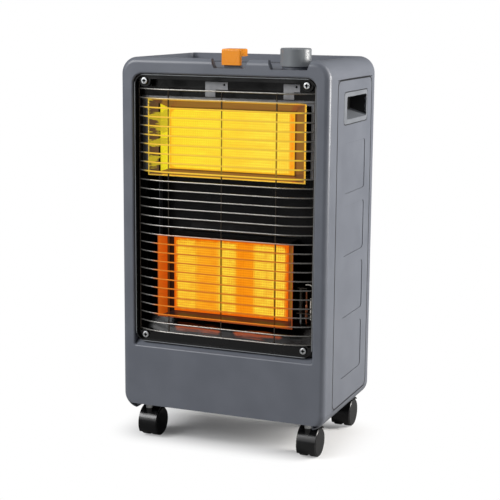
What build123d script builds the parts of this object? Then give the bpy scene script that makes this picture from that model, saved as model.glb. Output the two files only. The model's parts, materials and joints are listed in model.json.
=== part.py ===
from build123d import *
from math import acos, cos, degrees, floor, pi, radians, sin
import os

# Portable gas cabinet heater on castors.
#
# Units are millimetres. +Z is up, the front panel faces -Y, +X is to the right seen from the
# front, and the origin is on the floor under the middle of the cabinet.

# ------------------------------------------------------------------ cabinet
WIDTH = 367.0           # across the side panels
DEPTH = 240.0           # front panel to rear edge
HEIGHT = 660.0          # floor to the top rim
CORNER_R = 28.0         # outline corners, seen from the front
EDGE_R = 10.0           # rounded front edge
WALL = 2.5              # case wall
PANEL_LIFT = 10.0       # lower edge of the front panel above the side skirts
SKIRT_W = 21.5          # side face to the skirt's hem
SHEET = 1.5             # pressed steel of the covers and brackets
LINER_SHEET = 1.2       # enamelled steel of the firebox
PART_GAP = 0.3          # between pieces that come apart or move

# ------------------------------------------------------------------ window
WINDOW_SIDE = 22.5      # side face to the window
WINDOW_TOP = 27.0       # top rim to the window
CHIN = 105.0            # front panel below the window
WINDOW_R = 17.0         # upper corners
WINDOW_FOOT_R = 3.0     # lower corners
WINDOW_RETURN = 15.0    # collar behind the front face
WINDOW_ROLL = 3.5       # rolled front edge
LEDGE_RISE = 7.0        # slope of the lower ledge
LEDGE_RUN = 12.0

# ------------------------------------------------------------------ guard
FRAME_GAP = 1.0         # round the guard frame, in the window
FRAME_SET = 10.0        # frame face behind the front face
FRAME_SHEET = 2.0
FRAME_RIM = 4.0         # rim's front edge behind the front face
FRAME_SIDE = 3.0        # border widths
FRAME_FOOT = 16.0
FRAME_HEAD = 8.0
FRAME_R = 18.0
FRAME_OPEN_R = 8.0      # corners of the frame's opening
EAR_R = 10.0            # round ears that carry the screws
SCREW_IN = 17.0         # screw axis from the frame's side edge
SCREW_UP = 11.0         # screw axis from the frame's upper and lower edges
SCREW_D = 4.8
SCREW_HEAD_D = 9.0
SCREW_HEAD_H = 3.0
WASHER_D = 12.0
WASHER_T = 1.2
WIRE_D = 2.8
WIRE_SIDES = 6
WIRE_PITCH = 15.15
WIRE_PROUD = 3.0        # wire axis ahead of the front face, in the middle
WIRE_INSET = 21.0       # first wire from the frame's lower edge
WIRE_FLAT = 97.0        # half length of the straight middle run
WIRE_END = 155.2        # middle to the end rods
ROD_INSET = 12.5        # end rods inside the frame's upper and lower edges
UPRIGHTS = (-95.5, 0.0, 95.5)

# ------------------------------------------------------------------ firebox
LINER_MARGIN = 3.0      # liner inside the window's sides
LINER_BACK = 80.0       # back of the firebox behind the front face
LINER_FLANGE = 6.0      # flange behind the window collar
SHIELD_SET = 24.0       # heat shield behind the front face
SHIELD_RISE = 21.0      # shield floor above the upper plaque
CARRIER_X = 144.0       # inner face of the carrier's uprights
CARRIER_W = 12.0
CARRIER_SET = 28.0      # carrier's face behind the front face
CARRIER_DROP = 4.0      # uprights below the upper plaque
BAR_H = 8.0             # top bar
TAB_H = 12.6
TAB_LIFT = 13.0         # tabs above the shield's floor
TABS = ((-19.2, 40.0), (112.0, 28.0))   # middle and width of each tab
TAB_LEG_W = 18.0
TAB_HOLE_D = 4.0
TAB_HOLE = (6.2, 4.3)   # hole from the tab's right and upper edges

# ------------------------------------------------------------------ burners
PLAQUE_SET = 40.0       # plaque face behind the front face
PLAQUE_T = 13.0
UPPER_W = 224.0
UPPER_H = 102.0
UPPER_DROP = 58.0       # window top to plaque top
UPPER_FLARE = (27.0, 8.5, 16.0)    # reflector flare: sides, bottom, top
UPPER_RIM = 15.0        # reflector rim behind the front face
LOWER_W = 208.0
LOWER_H = 129.0
LOWER_RISE = 57.5       # window bottom to plaque bottom
LOWER_FLARE = (17.0, 5.0, 5.0)
LOWER_RIM = 12.0
LOWER_TILES = 5
TILE_GROOVE = 0.8
BOX_LIP = 4.0           # burner box outside the plaque
BOX_DEPTH = 34.0
BOX_WALL = 1.2
PLAQUE_GAP = 0.3
NECK_R = 12.0
VENTURI_AXIS = 96.0     # mixing tube behind the front face
VENTURI_R = 8.0
VENTURI_MOUTH_R = 11.0
VENTURI_END = 84.0
VENTURI_WALL = 1.5
EAR_SET = 60.0          # burner ears behind the front face

# ------------------------------------------------------------------ reflector tray
TRAY_FOOT = 18.0        # sloped tray: front foot and rear top behind the front face
TRAY_BACK = 40.0
TRAY_UNDER = 10.0       # below the lower plaque

# ------------------------------------------------------------------ top tray and controls
TOP_DROP = 15.0         # tray floor below the rim
TOP_FRONT = 14.0        # rim widths
TOP_REAR = 14.0
TOP_SIDE = 30.0
TOP_R = 12.0
KEY_X = 12.0
KEY_W = 33.0
KEY_SCOOP = (54.0, 67.0)    # notch widths, floor and rim
KEY_SET = 8.0           # key face behind the front face
KEY_D = 31.0
KEY_PLATE = 12.0        # thickness of the upper plate
KEY_FACE = 6.0          # thickness of the front plate
KEY_PROUD = 16.0        # above the top rim
KEY_TRAVEL = 4.5
PLUNGER_D = 7.0
PLUNGER_SET = 34.5
PLUNGER_LEN = 38.0
SLIDE_GAP = 0.1
KNOB_X = 114.0
KNOB_SCOOP = (62.0, 73.0)
KNOB_SET = 34.0
KNOB_D = 50.0
KNOB_H = 28.5
KNOB_WALL = 2.5
POINTER_W = 3.0
POINTER_H = 0.8
KNOB_EDGE = 1.5
KNOB_TRAVEL = 4.5
HUB_LIFT = 6.0          # hub above the skirt's edge
CONTROL_LIFT = 5.0      # knob and key above the tray floor
STEM_D = 8.0
SHAFT_GAP = 0.05        # radial running clearance
STEM_WASHER_D = 16.0

# ------------------------------------------------------------------ gas train
VALVE_BOSS_D = 16.0
VALVE_BODY = (100.0, 146.0, 48.0, 104.0)    # X range, then distances behind the front face
VALVE_H = 28.0
VALVE_HANG = 13.0       # valve body below the tray floor
PIPE_D = 6.0
PILOT_PIPE_D = 4.0
LEAD_D = 3.0
PIPE_SIDES = 8          # pipes and leads are eight-sided
UPPER_PIPE_X = 110.0
LOWER_PIPE_X = 120.0
PILOT_X = 130.0
COUPLE_X = 140.0
SPARK_X = 149.0
INLET_X = 80.0
INLET_SET = 170.0
INLET_PIPE_D = 8.0
INLET_DROP = 300.0      # nozzle plate below the tray floor
NOZZLE_D = 8.0
NOZZLE_LEN = 20.0
PILOT_SET = 30.0
PILOT_RISE = 19.0       # pilot bracket above the lower plaque's lower edge
LINE_DROP = 24.0        # crossing lines below the pilot bracket
PIEZO_D = 16.0
PIEZO_LEN = 40.0

# ------------------------------------------------------------------ side panels
SIDE_FRONT = 42.0       # opening's front edge behind the front face
SIDE_REAR = 14.0        # opening's rear edge ahead of the rear edge
SIDE_TOP = 31.5
SIDE_FOOT = 24.0        # opening above the skirt's lower edge
SIDE_GAP = 1.6          # joint line round the panel
SIDE_LIP = 6.0          # ledge behind the panel
FIELD_D = 110.0         # embossed fields: depth, height, pitch
FIELD_H = 84.0
FIELD_PITCH = 105.0
FIELD_COUNT = 4
FIELD_FOOT = 45.0       # lowest field above the opening's lower edge
FIELD_SINK = 0.9
FIELD_R = 8.0
HANDLE_D = 106.0        # hand hole
HANDLE_H = 37.0
HANDLE_RING = 7.5       # ring above and below the hand hole
HANDLE_SHIFT = 5.0      # hand hole behind the ring's middle
RING_D = 127.0
RING_T = 1.5
SIDE_MID = 138.0        # middle of the ring and the fields behind the front face
HANDLE_TOP = 53.0       # top rim to the ring's top
HANDLE_DEPTH = 28.0
HANDLE_WALL = 2.0

# ------------------------------------------------------------------ rear panel
REAR_SET = 9.0          # panel face ahead of the rear edge
REAR_LIP = 8.0          # ledge that it closes against
REAR_RIM = 5.0          # turned edge
LOUVRE_W = 90.0
LOUVRE_H = 9.0
LOUVRE_PROUD = 4.5
LOUVRE_PITCH = 18.0
LOUVRE_TOP_ROWS = 7
LOUVRE_FOOT_ROWS = 4
LOUVRE_X = 60.0
HOSE_SLOT_W = 60.0
HOSE_SLOT_H = 40.0
HOSE_SLOT_R = 4.0

# ------------------------------------------------------------------ base and castors
BASE_T = 2.0
BASE_FLANGE = 12.0
VENT_SLOT = (70.0, 14.0)
VENT_PITCH = 87.5
VENT_SETS = (55.0, 100.0)   # slot rows behind the front face, and one more below the gas inlet
CASTOR_IN = 37.0        # stem from the side face
CASTOR_SET = 28.0       # stem from the front and rear edges
CASTOR_TRAIL = 16.0     # axle behind the stem
WHEEL_D = 50.0
WHEEL_W = 12.5
WHEEL_GAP = 1.0         # wheel to the hood's web
WHEEL_DISH = 1.5
TREAD_R = 2.0           # chamfer beside the tread
AXLE_D = 6.0
HOOD_WEB = 6.0
HOOD_GAP = 1.2          # wheel tread to the hood
HOOD_WALL = 1.8
HOOD_FRONT_ANGLE = 215.0    # hood shell ends, from the rear over the top
HOOD_REAR_ANGLE = 48.0
CASTOR_TOP_GAP = 3.0    # hood to the skirts' lower edge
CASTOR_STEM_D = 8.0
COLLAR_D = 13.0
SOCKET_D = 14.0
SOCKET_LEN = 28.0
SOCKET_FLANGE_D = 20.0
SOCKET_FLANGE_T = 2.0

# ------------------------------------------------------------------ worked-out levels
HOOD_R = WHEEL_D / 2 + HOOD_GAP + HOOD_WALL
AXLE_Z = WHEEL_D / 2
SKIRT_Z = AXLE_Z + HOOD_R + CASTOR_TOP_GAP
PANEL_Z = SKIRT_Z + PANEL_LIFT
CASE_MID = (SKIRT_Z + HEIGHT) / 2
GUARD_PROUD = WIRE_PROUD + WIRE_D / 2
CASTOR_PROUD = CASTOR_TRAIL + HOOD_R - CASTOR_SET   # rear castors beyond the rear edge
FRONT = (GUARD_PROUD - DEPTH - CASTOR_PROUD) / 2
REAR = FRONT + DEPTH
WINDOW_X = WIDTH / 2 - WINDOW_SIDE
WINDOW_Z0 = PANEL_Z + CHIN
WINDOW_Z1 = HEIGHT - WINDOW_TOP
FRAME_X = WINDOW_X - FRAME_GAP
FRAME_Z0 = WINDOW_Z0 + LEDGE_RISE
FRAME_Z1 = WINDOW_Z1 - FRAME_GAP
SCREW_X = FRAME_X - SCREW_IN
SCREW_Z = (FRAME_Z0 + SCREW_UP, FRAME_Z1 - SCREW_UP)
UPPER_Z1 = WINDOW_Z1 - UPPER_DROP
UPPER_Z0 = UPPER_Z1 - UPPER_H
UPPER_MID = (UPPER_Z0 + UPPER_Z1) / 2
LOWER_Z0 = WINDOW_Z0 + LOWER_RISE
LOWER_Z1 = LOWER_Z0 + LOWER_H
LOWER_MID = (LOWER_Z0 + LOWER_Z1) / 2
LINER_X = WINDOW_X - LINER_MARGIN
LINER_Z0 = WINDOW_Z0 + LEDGE_RISE
SHIELD_Z = UPPER_Z1 + SHIELD_RISE
TOP_Z = HEIGHT - TOP_DROP
TOP_X = WIDTH / 2 - TOP_SIDE
CEILING_Z = TOP_Z - WALL
SIDE_Z0 = SKIRT_Z + SIDE_FOOT
SIDE_Z1 = HEIGHT - SIDE_TOP
RING_H = HANDLE_H + 2 * HANDLE_RING
HANDLE_Z = HEIGHT - HANDLE_TOP - RING_H / 2
PILOT_Z = LOWER_Z0 + PILOT_RISE
LINE_Z = PILOT_Z - LINE_DROP
VALVE_Z1 = CEILING_Z - VALVE_HANG
VALVE_Z0 = VALVE_Z1 - VALVE_H
INLET_Z = CEILING_Z - INLET_DROP
INJECTOR_X = VENTURI_END + 14.0
CASTOR_X = WIDTH / 2 - CASTOR_IN
STEM_TOP_Z = PANEL_Z - SOCKET_FLANGE_T + SOCKET_LEN - 2.0


def behind(distance):
    """Y of a plane this far behind the front face."""
    return FRONT + distance


def block(x0, x1, y0, y1, z0, z1):
    """Box between two corners."""
    return Pos((x0 + x1) / 2, (y0 + y1) / 2, (z0 + z1) / 2) * Box(x1 - x0, y1 - y0, z1 - z0)


def slab(sketch, y0, y1):
    """A sketch in X and Z, given thickness from y0 to y1."""
    return extrude(Plane.XZ.offset(-y1) * sketch, amount=y1 - y0)


def side_slab(sketch, x0, x1):
    """A sketch in Y and Z, given thickness from x0 to x1."""
    return extrude(Plane.YZ.offset(x0) * sketch, amount=x1 - x0)


def rectangle(x0, x1, z0, z1, radius=0.0):
    """Rectangle between two corners, its corners rounded when a radius is given."""
    place = Pos((x0 + x1) / 2, (z0 + z1) / 2)
    if radius > 0:
        return place * RectangleRounded(x1 - x0, z1 - z0, radius)
    return place * Rectangle(x1 - x0, z1 - z0)


def rod(start, end, radius):
    """Round bar between two points."""
    axis = Vector(*end) - Vector(*start)
    return extrude(Plane(origin=start, z_dir=axis) * Circle(radius), amount=axis.length)


def tube_along(points, radius, bend):
    """Pipe or lead along straight runs joined by bends."""
    path = FilletPolyline(*points, radius=bend)
    section = Plane(origin=path @ 0, z_dir=path % 0) * RegularPolygon(radius, PIPE_SIDES)
    return sweep(section, path=path)


def mirrored(shape):
    """The same shape on the other side of the cabinet."""
    return mirror(shape, about=Plane.YZ)


def turned(points, origin, axis=(0, 0, 1)):
    """Solid of revolution from (radius, height) points about an axis through the origin."""
    profile = Plane.XZ * make_face(Polyline(*points, close=True))
    solid = revolve(profile, Axis.Z)
    return Plane(origin=origin, z_dir=axis) * solid


# ------------------------------------------------------------------ case
def case_outline(inset):
    """Front outline of the case, this far inside its faces."""
    half = WIDTH / 2 - inset
    return rectangle(-half, half, SKIRT_Z + inset, HEIGHT - inset, CORNER_R - inset)


def case_block(inset, y0, y1):
    """Case volume with its rounded front edge."""
    body = slab(case_outline(inset), y0, y1)
    return fillet(body.faces().sort_by(Axis.Y)[0].edges(), EDGE_R - inset)


def window_outline(grow=0.0):
    """Window with rounder upper corners."""
    sketch = rectangle(-WINDOW_X - grow, WINDOW_X + grow, WINDOW_Z0 - grow, WINDOW_Z1 + grow)
    corners = sketch.vertices().sort_by(Axis.Y)
    sketch = fillet(corners[-2:], WINDOW_R + grow)
    return fillet(sketch.vertices().sort_by(Axis.Y)[:2], WINDOW_FOOT_R + grow)


def scoop(middle, widths):
    """Trapezoidal notch through the front rim down to the tray floor."""
    low, high = widths[0] / 2, widths[1] / 2
    slope = (high - low) / TOP_DROP
    over = 2.0
    points = [(-low, 0), (low, 0), (high + slope * over, TOP_DROP + over),
              (-high - slope * over, TOP_DROP + over)]
    profile = make_face(Polyline(*points, close=True))
    return slab(Pos(middle, TOP_Z) * profile, FRONT - 1, behind(TOP_FRONT + 1))


def side_opening(grow, x0, x1):
    """Volume of the side opening, grown all round."""
    sketch = rectangle(behind(SIDE_FRONT) - grow, REAR - SIDE_REAR + grow,
                       SIDE_Z0 - grow, SIDE_Z1 + grow)
    return side_slab(sketch, x0, x1)


def skirt_hem():
    """Turned-in lower edge of the right skirt, up to the base plate."""
    foot_x = WIDTH / 2 - SKIRT_W
    lean = 5.0
    points = [(foot_x - WALL / 2, SKIRT_Z + 1), (foot_x + WALL, SKIRT_Z + 1),
              (foot_x - lean + WALL, PANEL_Z), (foot_x - lean, PANEL_Z)]
    return slab(make_face(Polyline(*points, close=True)), behind(EDGE_R), REAR)


def case_shell():
    """Front panel, sides, top and top tray in one shell, open at the rear and below."""
    outer = case_block(0, FRONT, REAR)
    shell = outer - case_block(WALL, behind(WALL), REAR + 1)
    # top tray: solid front rim, floor and walls
    tray = block(-TOP_X - WALL, TOP_X + WALL, FRONT, REAR - TOP_REAR + WALL, CEILING_Z, HEIGHT)
    shell += tray & outer
    recess = extrude(Pos(0, (behind(TOP_FRONT) + REAR - TOP_REAR) / 2, TOP_Z)
                     * RectangleRounded(2 * TOP_X, DEPTH - TOP_FRONT - TOP_REAR, TOP_R),
                     amount=TOP_DROP + 1)
    shell -= recess
    shell -= scoop(KEY_X, KEY_SCOOP)
    shell -= scoop(KNOB_X, KNOB_SCOOP)
    # window with its collar and sloped ledge
    shell += slab(window_outline(WALL), behind(WALL / 2), behind(WINDOW_RETURN))
    shell -= slab(window_outline(), FRONT - 1, behind(WINDOW_RETURN + 1))
    front_face = shell.faces().filter_by(Axis.Y).sort_by(Axis.Y)[0]
    shell = fillet(front_face.inner_wires()[0].edges(), WINDOW_ROLL)
    start = behind(WINDOW_ROLL)
    ledge = [(start, WINDOW_Z0 - WALL / 2), (start, WINDOW_Z0),
             (behind(LEDGE_RUN), WINDOW_Z0 + LEDGE_RISE),
             (behind(WINDOW_RETURN), WINDOW_Z0 + LEDGE_RISE),
             (behind(WINDOW_RETURN), WINDOW_Z0 - WALL / 2)]
    shell += side_slab(make_face(Polyline(*ledge, close=True)), -WINDOW_X, WINDOW_X)
    # underside open between the skirts, and the front panel ends above them
    hem_x = WIDTH / 2 - SKIRT_W
    shell -= block(-hem_x, hem_x, FRONT - 1, REAR + 1, SKIRT_Z - 1, PANEL_Z)
    under = slab(case_outline(WALL), FRONT - 1, behind(EDGE_R + 2))
    shell -= under & block(-WIDTH, WIDTH, FRONT - 1, REAR, SKIRT_Z, PANEL_Z)
    shell += skirt_hem() + mirrored(skirt_hem())
    # side openings with a ledge behind them
    outside = WIDTH / 2
    inside = outside - WALL
    lip = side_opening(SIDE_GAP, inside - SHEET, inside) - side_opening(
        -SIDE_LIP, inside - SHEET - 1, inside + 1)
    opening = side_opening(0, inside, outside + 1)
    shell = shell - opening - mirrored(opening) + lip + mirrored(lip)
    # ledge for the rear panel
    lip_y1 = REAR - REAR_SET - SHEET - PART_GAP
    ring = slab(case_outline(WALL / 2), lip_y1 - SHEET, lip_y1) - slab(
        case_outline(WALL + REAR_LIP), lip_y1 - SHEET - 1, lip_y1 + 1)
    foot = PANEL_Z + BASE_T + BASE_FLANGE + REAR_LIP
    shell += ring & block(-WIDTH, WIDTH, FRONT, REAR, foot, HEIGHT)
    # holes for the plunger and the valve stem
    for x, set_back, diameter in ((KEY_X, PLUNGER_SET, PLUNGER_D + 4), (KNOB_X, KNOB_SET, STEM_D + 4)):
        shell -= rod((x, behind(set_back), CEILING_Z - 1), (x, behind(set_back), TOP_Z + 1), diameter / 2)
    return shell


# ------------------------------------------------------------------ side panels and handles
def side_panel():
    """Right panel: joint line all round, four shallow fields, a seat and a hole for the handle."""
    inside = WIDTH / 2 - WALL
    outside = WIDTH / 2
    panel = side_opening(-SIDE_GAP / 2, inside, outside)
    middle_y = behind(SIDE_MID)
    for row in range(FIELD_COUNT):
        z0 = SIDE_Z0 + FIELD_FOOT + row * FIELD_PITCH
        if z0 + FIELD_H < HANDLE_Z - RING_H / 2:
            field = rectangle(middle_y - FIELD_D / 2, middle_y + FIELD_D / 2, z0, z0 + FIELD_H, FIELD_R)
            panel -= side_slab(field, outside - FIELD_SINK, outside + 1)
    panel -= side_slab(ring_outline(0), outside - RING_T, outside + 1)
    panel -= side_slab(hand_hole(HANDLE_WALL + PART_GAP), inside - 1, outside + 1)
    return panel


def ring_outline(inset):
    """Outline of the ring round the handle, this far inside its seat."""
    return Pos(behind(SIDE_MID), HANDLE_Z) * RectangleRounded(
        RING_D - 2 * inset, RING_H - 2 * inset, FIELD_R)


def hand_hole(grow):
    """Outline of the hand hole, grown all round."""
    return Pos(behind(SIDE_MID + HANDLE_SHIFT), HANDLE_Z) * RectangleRounded(
        HANDLE_D + 2 * grow, HANDLE_H + 2 * grow, HANDLE_RING / 2)


def handle_cup():
    """Right handle: a ring flush in the panel and a pocket with a sloped floor."""
    outside = WIDTH / 2
    deep = outside - HANDLE_DEPTH
    shrink = HANDLE_H / 4

    def pocket(grow, x_end):
        mouth = Plane.YZ.offset(outside) * hand_hole(grow)
        back = Plane.YZ.offset(x_end) * (Pos(behind(SIDE_MID + HANDLE_SHIFT), HANDLE_Z + shrink / 2)
                                         * RectangleRounded(HANDLE_D - 8 + 2 * grow,
                                                            HANDLE_H - shrink + 2 * grow,
                                                            HANDLE_RING / 2))
        return loft([back, mouth])

    cup = side_slab(ring_outline(PART_GAP), outside - RING_T, outside)
    cup += pocket(HANDLE_WALL, deep - HANDLE_WALL)
    return cup - pocket(0, deep)


# ------------------------------------------------------------------ base plate
def base_plate():
    """Folded plate between the skirts with air slots and the castor holes."""
    half = WIDTH / 2 - SKIRT_W
    y0, y1 = behind(WALL + PART_GAP), REAR - REAR_SET - SHEET - PART_GAP - SHEET
    z1 = PANEL_Z + BASE_T
    plate = block(-half, half, y0, y1, PANEL_Z, z1)
    for y in (y0, y1 - BASE_T):
        plate += block(-half, half, y, y + BASE_T, PANEL_Z, z1 + BASE_FLANGE)
    length, width = VENT_SLOT
    for x in (-VENT_PITCH, 0.0, VENT_PITCH):
        for y in (behind(d) for d in (*VENT_SETS, INLET_SET)):
            plate -= block(x - length / 2, x + length / 2, y - width / 2, y + width / 2, PANEL_Z - 1, z1 + 1)
    for x, y in castor_places():
        plate -= rod((x, y, PANEL_Z - 1), (x, y, z1 + 1), SOCKET_D / 2 + SLIDE_GAP)
    return plate


def castor_places():
    """Stem axes, front left, front right, rear left, rear right."""
    return [(x, y) for y in (FRONT + CASTOR_SET, REAR - CASTOR_SET) for x in (-CASTOR_X, CASTOR_X)]


def castor_sockets():
    """Flanged sockets pushed up through the base plate."""
    bore = CASTOR_STEM_D / 2 + SHAFT_GAP
    z0 = -SOCKET_FLANGE_T
    points = [(bore, z0), (SOCKET_FLANGE_D / 2, z0), (SOCKET_FLANGE_D / 2, 0),
              (SOCKET_D / 2, 0), (SOCKET_D / 2, z0 + SOCKET_LEN), (bore, z0 + SOCKET_LEN)]
    return [turned(points, (x, y, PANEL_Z)) for x, y in castor_places()]


# ------------------------------------------------------------------ guard
def guard_frame():
    """Black frame in the window with round ears and spacers for the screws."""
    y0, y1 = behind(FRAME_SET), behind(FRAME_SET + FRAME_SHEET)
    outline = rectangle(-FRAME_X, FRAME_X, FRAME_Z0, FRAME_Z1, FRAME_R)
    opening = rectangle(-FRAME_X + FRAME_SIDE, FRAME_X - FRAME_SIDE,
                        FRAME_Z0 + FRAME_FOOT, FRAME_Z1 - FRAME_HEAD, FRAME_OPEN_R)
    sketch = outline - opening
    for x in (-SCREW_X, SCREW_X):
        for z in SCREW_Z:
            sketch += Pos(x, z) * Circle(EAR_R)
    frame = slab(sketch, y0, y1)
    inner = rectangle(-FRAME_X + FRAME_SHEET, FRAME_X - FRAME_SHEET,
                      FRAME_Z0 + FRAME_SHEET, FRAME_Z1 - FRAME_SHEET, FRAME_R - FRAME_SHEET)
    frame += slab(outline - inner, behind(FRAME_RIM), behind(WINDOW_RETURN - PART_GAP))
    for x in (-SCREW_X, SCREW_X):
        for z in SCREW_Z:
            frame += rod((x, y1, z), (x, behind(WINDOW_RETURN), z), SCREW_D)
            frame -= rod((x, y0 - 1, z), (x, behind(WINDOW_RETURN + 1), z), SCREW_D / 2 + SLIDE_GAP)
    return frame


def wire_levels():
    """Heights of the horizontal wires."""
    lowest = FRAME_Z0 + WIRE_INSET
    count = floor((FRAME_Z1 - WIRE_INSET - lowest) / WIRE_PITCH) + 1
    return [lowest + i * WIRE_PITCH for i in range(count)]


def guard_wires():
    """Welded guard, one solid a wire: each level wire is straight in the middle and curves back at
    both ends to the end rods, and three uprights lie behind the straight runs."""
    radius = WIRE_D / 2
    flats = 2 * radius * cos(pi / WIRE_SIDES)
    rod_y = behind(FRAME_SET + FRAME_SHEET) + radius
    front_y = FRONT - WIRE_PROUD
    reach = WIRE_END - WIRE_FLAT
    back = rod_y - front_y
    bend = (reach * reach + back * back) / (2 * back)
    swing = degrees(acos(1 - back / bend))
    levels = wire_levels()
    ends = [extrude(Pos(x, rod_y, FRAME_Z0 + ROD_INSET) * RegularPolygon(radius, WIRE_SIDES),
                    amount=FRAME_Z1 - FRAME_Z0 - 2 * ROD_INSET) for x in (-WIRE_END, WIRE_END)]
    uprights = [extrude(Pos(x, front_y + flats, levels[0] - radius) * RegularPolygon(radius, WIRE_SIDES),
                        amount=levels[-1] - levels[0] + 2 * radius) for x in UPRIGHTS]
    section = RegularPolygon(radius, WIRE_SIDES, rotation=180 / WIRE_SIDES)
    start = Plane(origin=(-WIRE_FLAT, front_y, 0), x_dir=(0, 1, 0), z_dir=(1, 0, 0))
    wire = extrude(start * section, amount=2 * WIRE_FLAT)
    for x, turn in ((-WIRE_FLAT, -swing), (WIRE_FLAT, swing)):
        face = Plane(origin=(x, front_y, 0), x_dir=(0, 1, 0), z_dir=(1, 0, 0)) * section
        wire += revolve(face, Axis((x, front_y + bend, 0), (0, 0, 1)), turn)
    tall = [Pos(0, 0, -levels[0]) * rod for rod in ends]
    wire = wire.cut(*tall)
    return ends + uprights + [Pos(0, 0, z) * wire for z in levels]


def guard_screws():
    """Pan-head screws with washers, through the frame into the liner's flange."""
    screws = []
    face = behind(FRAME_SET)
    head = SCREW_HEAD_D / 2
    tip = WINDOW_RETURN + LINER_SHEET + 1 - FRAME_SET
    for x in (-SCREW_X, SCREW_X):
        for z in SCREW_Z:
            points = [(0, -WASHER_T - SCREW_HEAD_H), (head - 1, -WASHER_T - SCREW_HEAD_H), (head, -WASHER_T),
                      (WASHER_D / 2, -WASHER_T), (WASHER_D / 2, 0), (SCREW_D / 2, 0),
                      (SCREW_D / 2, tip), (0, tip)]
            screws.append(turned(points, (x, face, z), (0, 1, 0)))
    return screws


# ------------------------------------------------------------------ firebox
def firebox_liner():
    """Black box behind the guard, flanged to the window collar and open at the front and top."""
    y0, y1 = behind(WINDOW_RETURN), behind(LINER_BACK)
    t = LINER_SHEET
    top = WINDOW_Z1 + LINER_SHEET
    liner = block(-LINER_X, LINER_X, y0, y1, LINER_Z0, top)
    liner -= block(-LINER_X + t, LINER_X - t, y0 - 1, y1 - t, LINER_Z0 + t, top + 1)
    liner -= block(-WIDTH, WIDTH, behind(SHIELD_SET - PART_GAP), REAR, SHIELD_Z - PART_GAP, HEIGHT)
    hole = rectangle(-LINER_X + t, LINER_X - t, LINER_Z0 + t, WINDOW_Z1 + 2 * LINER_FLANGE)
    rim = rectangle(-WINDOW_X - LINER_FLANGE, WINDOW_X + LINER_FLANGE,
                    WINDOW_Z0 - LINER_FLANGE, WINDOW_Z1 + LINER_FLANGE)
    liner += slab(rim - hole, y0, y0 + t)
    tab_x = SCREW_X - EAR_R
    for z0, z1 in ((LINER_Z0, SCREW_Z[0] + EAR_R), (SCREW_Z[1] - EAR_R, WINDOW_Z1 + LINER_FLANGE)):
        for x0, x1 in ((-LINER_X, -tab_x), (tab_x, LINER_X)):
            liner += block(x0, x1, y0, y0 + t, z0, z1)
    for x in (-SCREW_X, SCREW_X):
        for z in SCREW_Z:
            liner -= rod((x, y0 - 1, z), (x, y0 + t + 1, z), SCREW_D / 2 + SLIDE_GAP)
    for z in (UPPER_MID, LOWER_MID):
        liner -= rod((0, y1 - t - 1, z), (0, y1 + 1, z), NECK_R + SLIDE_GAP)
    for x in (PILOT_X, COUPLE_X, SPARK_X):
        liner -= rod((x, y1 - t - 1, LINE_Z), (x, y1 + 1, LINE_Z), PILOT_PIPE_D / 2 + 1)
    return liner


def heat_shield():
    """Black sheet that closes the firebox above the burners and shields the controls."""
    t = LINER_SHEET
    y0, y1, y2 = behind(WINDOW_RETURN), behind(SHIELD_SET), behind(LINER_BACK)
    top = WINDOW_Z1 + t
    half = LINER_X - t - PART_GAP
    shield = block(-half, half, y1, y1 + t, SHIELD_Z, top)
    shield += block(-half, half, y1, y2, SHIELD_Z, SHIELD_Z + t)
    shield += block(-half, half, y0 + t + PART_GAP, y1 + t, top, top + t)
    return shield


def burner_carrier():
    """Galvanised rack: two uprights on the liner's back, a top bar and two hanging tabs."""
    t = SHEET
    face = behind(CARRIER_SET)
    back = behind(LINER_BACK) - LINER_SHEET
    z0, z1 = LOWER_Z0, SHIELD_Z - PART_GAP
    half = LINER_X - LINER_SHEET - PART_GAP
    web = block(CARRIER_X, CARRIER_X + t, face, back, z0, z1)
    web -= block(CARRIER_X - 1, CARRIER_X + t + 1, face - 1, back - CARRIER_W, LOWER_Z0 - 1,
                 UPPER_Z0 - CARRIER_DROP)
    flange = block(CARRIER_X, half, face, face + t, UPPER_Z0 - CARRIER_DROP, z1)
    upright = web + flange
    bar = block(-half, half, face - t, face, z1 - BAR_H, z1)
    return upright + mirrored(upright) + bar


def shield_tabs():
    """Two galvanised tabs on the face of the heat shield, each with a leg and a hole."""
    face = behind(SHIELD_SET)
    z0 = SHIELD_Z + TAB_LIFT
    tabs = []
    for x, width in TABS:
        sketch = rectangle(x - width / 2, x + width / 2, z0, z0 + TAB_H)
        sketch += rectangle(x - width / 2, x - width / 2 + TAB_LEG_W, SHIELD_Z + 1, z0 + 1)
        sketch -= Pos(x + width / 2 - TAB_HOLE[0], z0 + TAB_H - TAB_HOLE[1]) * Circle(TAB_HOLE_D / 2)
        tabs.append(slab(sketch, face - SHEET, face))
    return tabs


# ------------------------------------------------------------------ burners
def burner_box(half_w, z0, z1):
    """Pressed gas box: a seat for the plaque, a plenum behind it and two ears."""
    y0 = behind(PLAQUE_SET)
    y1 = y0 + BOX_DEPTH
    box = block(-half_w - BOX_LIP, half_w + BOX_LIP, y0, y1, z0 - BOX_LIP, z1 + BOX_LIP)
    g = PLAQUE_GAP
    box -= block(-half_w - g, half_w + g, y0 - 1, y0 + PLAQUE_T, z0 - g, z1 + g)
    box -= block(-half_w + BOX_LIP, half_w - BOX_LIP, y0 - 1, y1 - BOX_WALL, z0 + BOX_LIP, z1 - BOX_LIP)
    ear_z = (z0 + z1) / 2
    ear = block(half_w + BOX_LIP, CARRIER_X, behind(EAR_SET + 8), behind(EAR_SET + 8) + SHEET,
                ear_z - 15, ear_z + 15)
    bore = rod((0, y1 - BOX_WALL - 1, ear_z), (0, y1 + 1, ear_z), NECK_R - VENTURI_WALL)
    return box + ear + mirrored(ear) - bore


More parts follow.
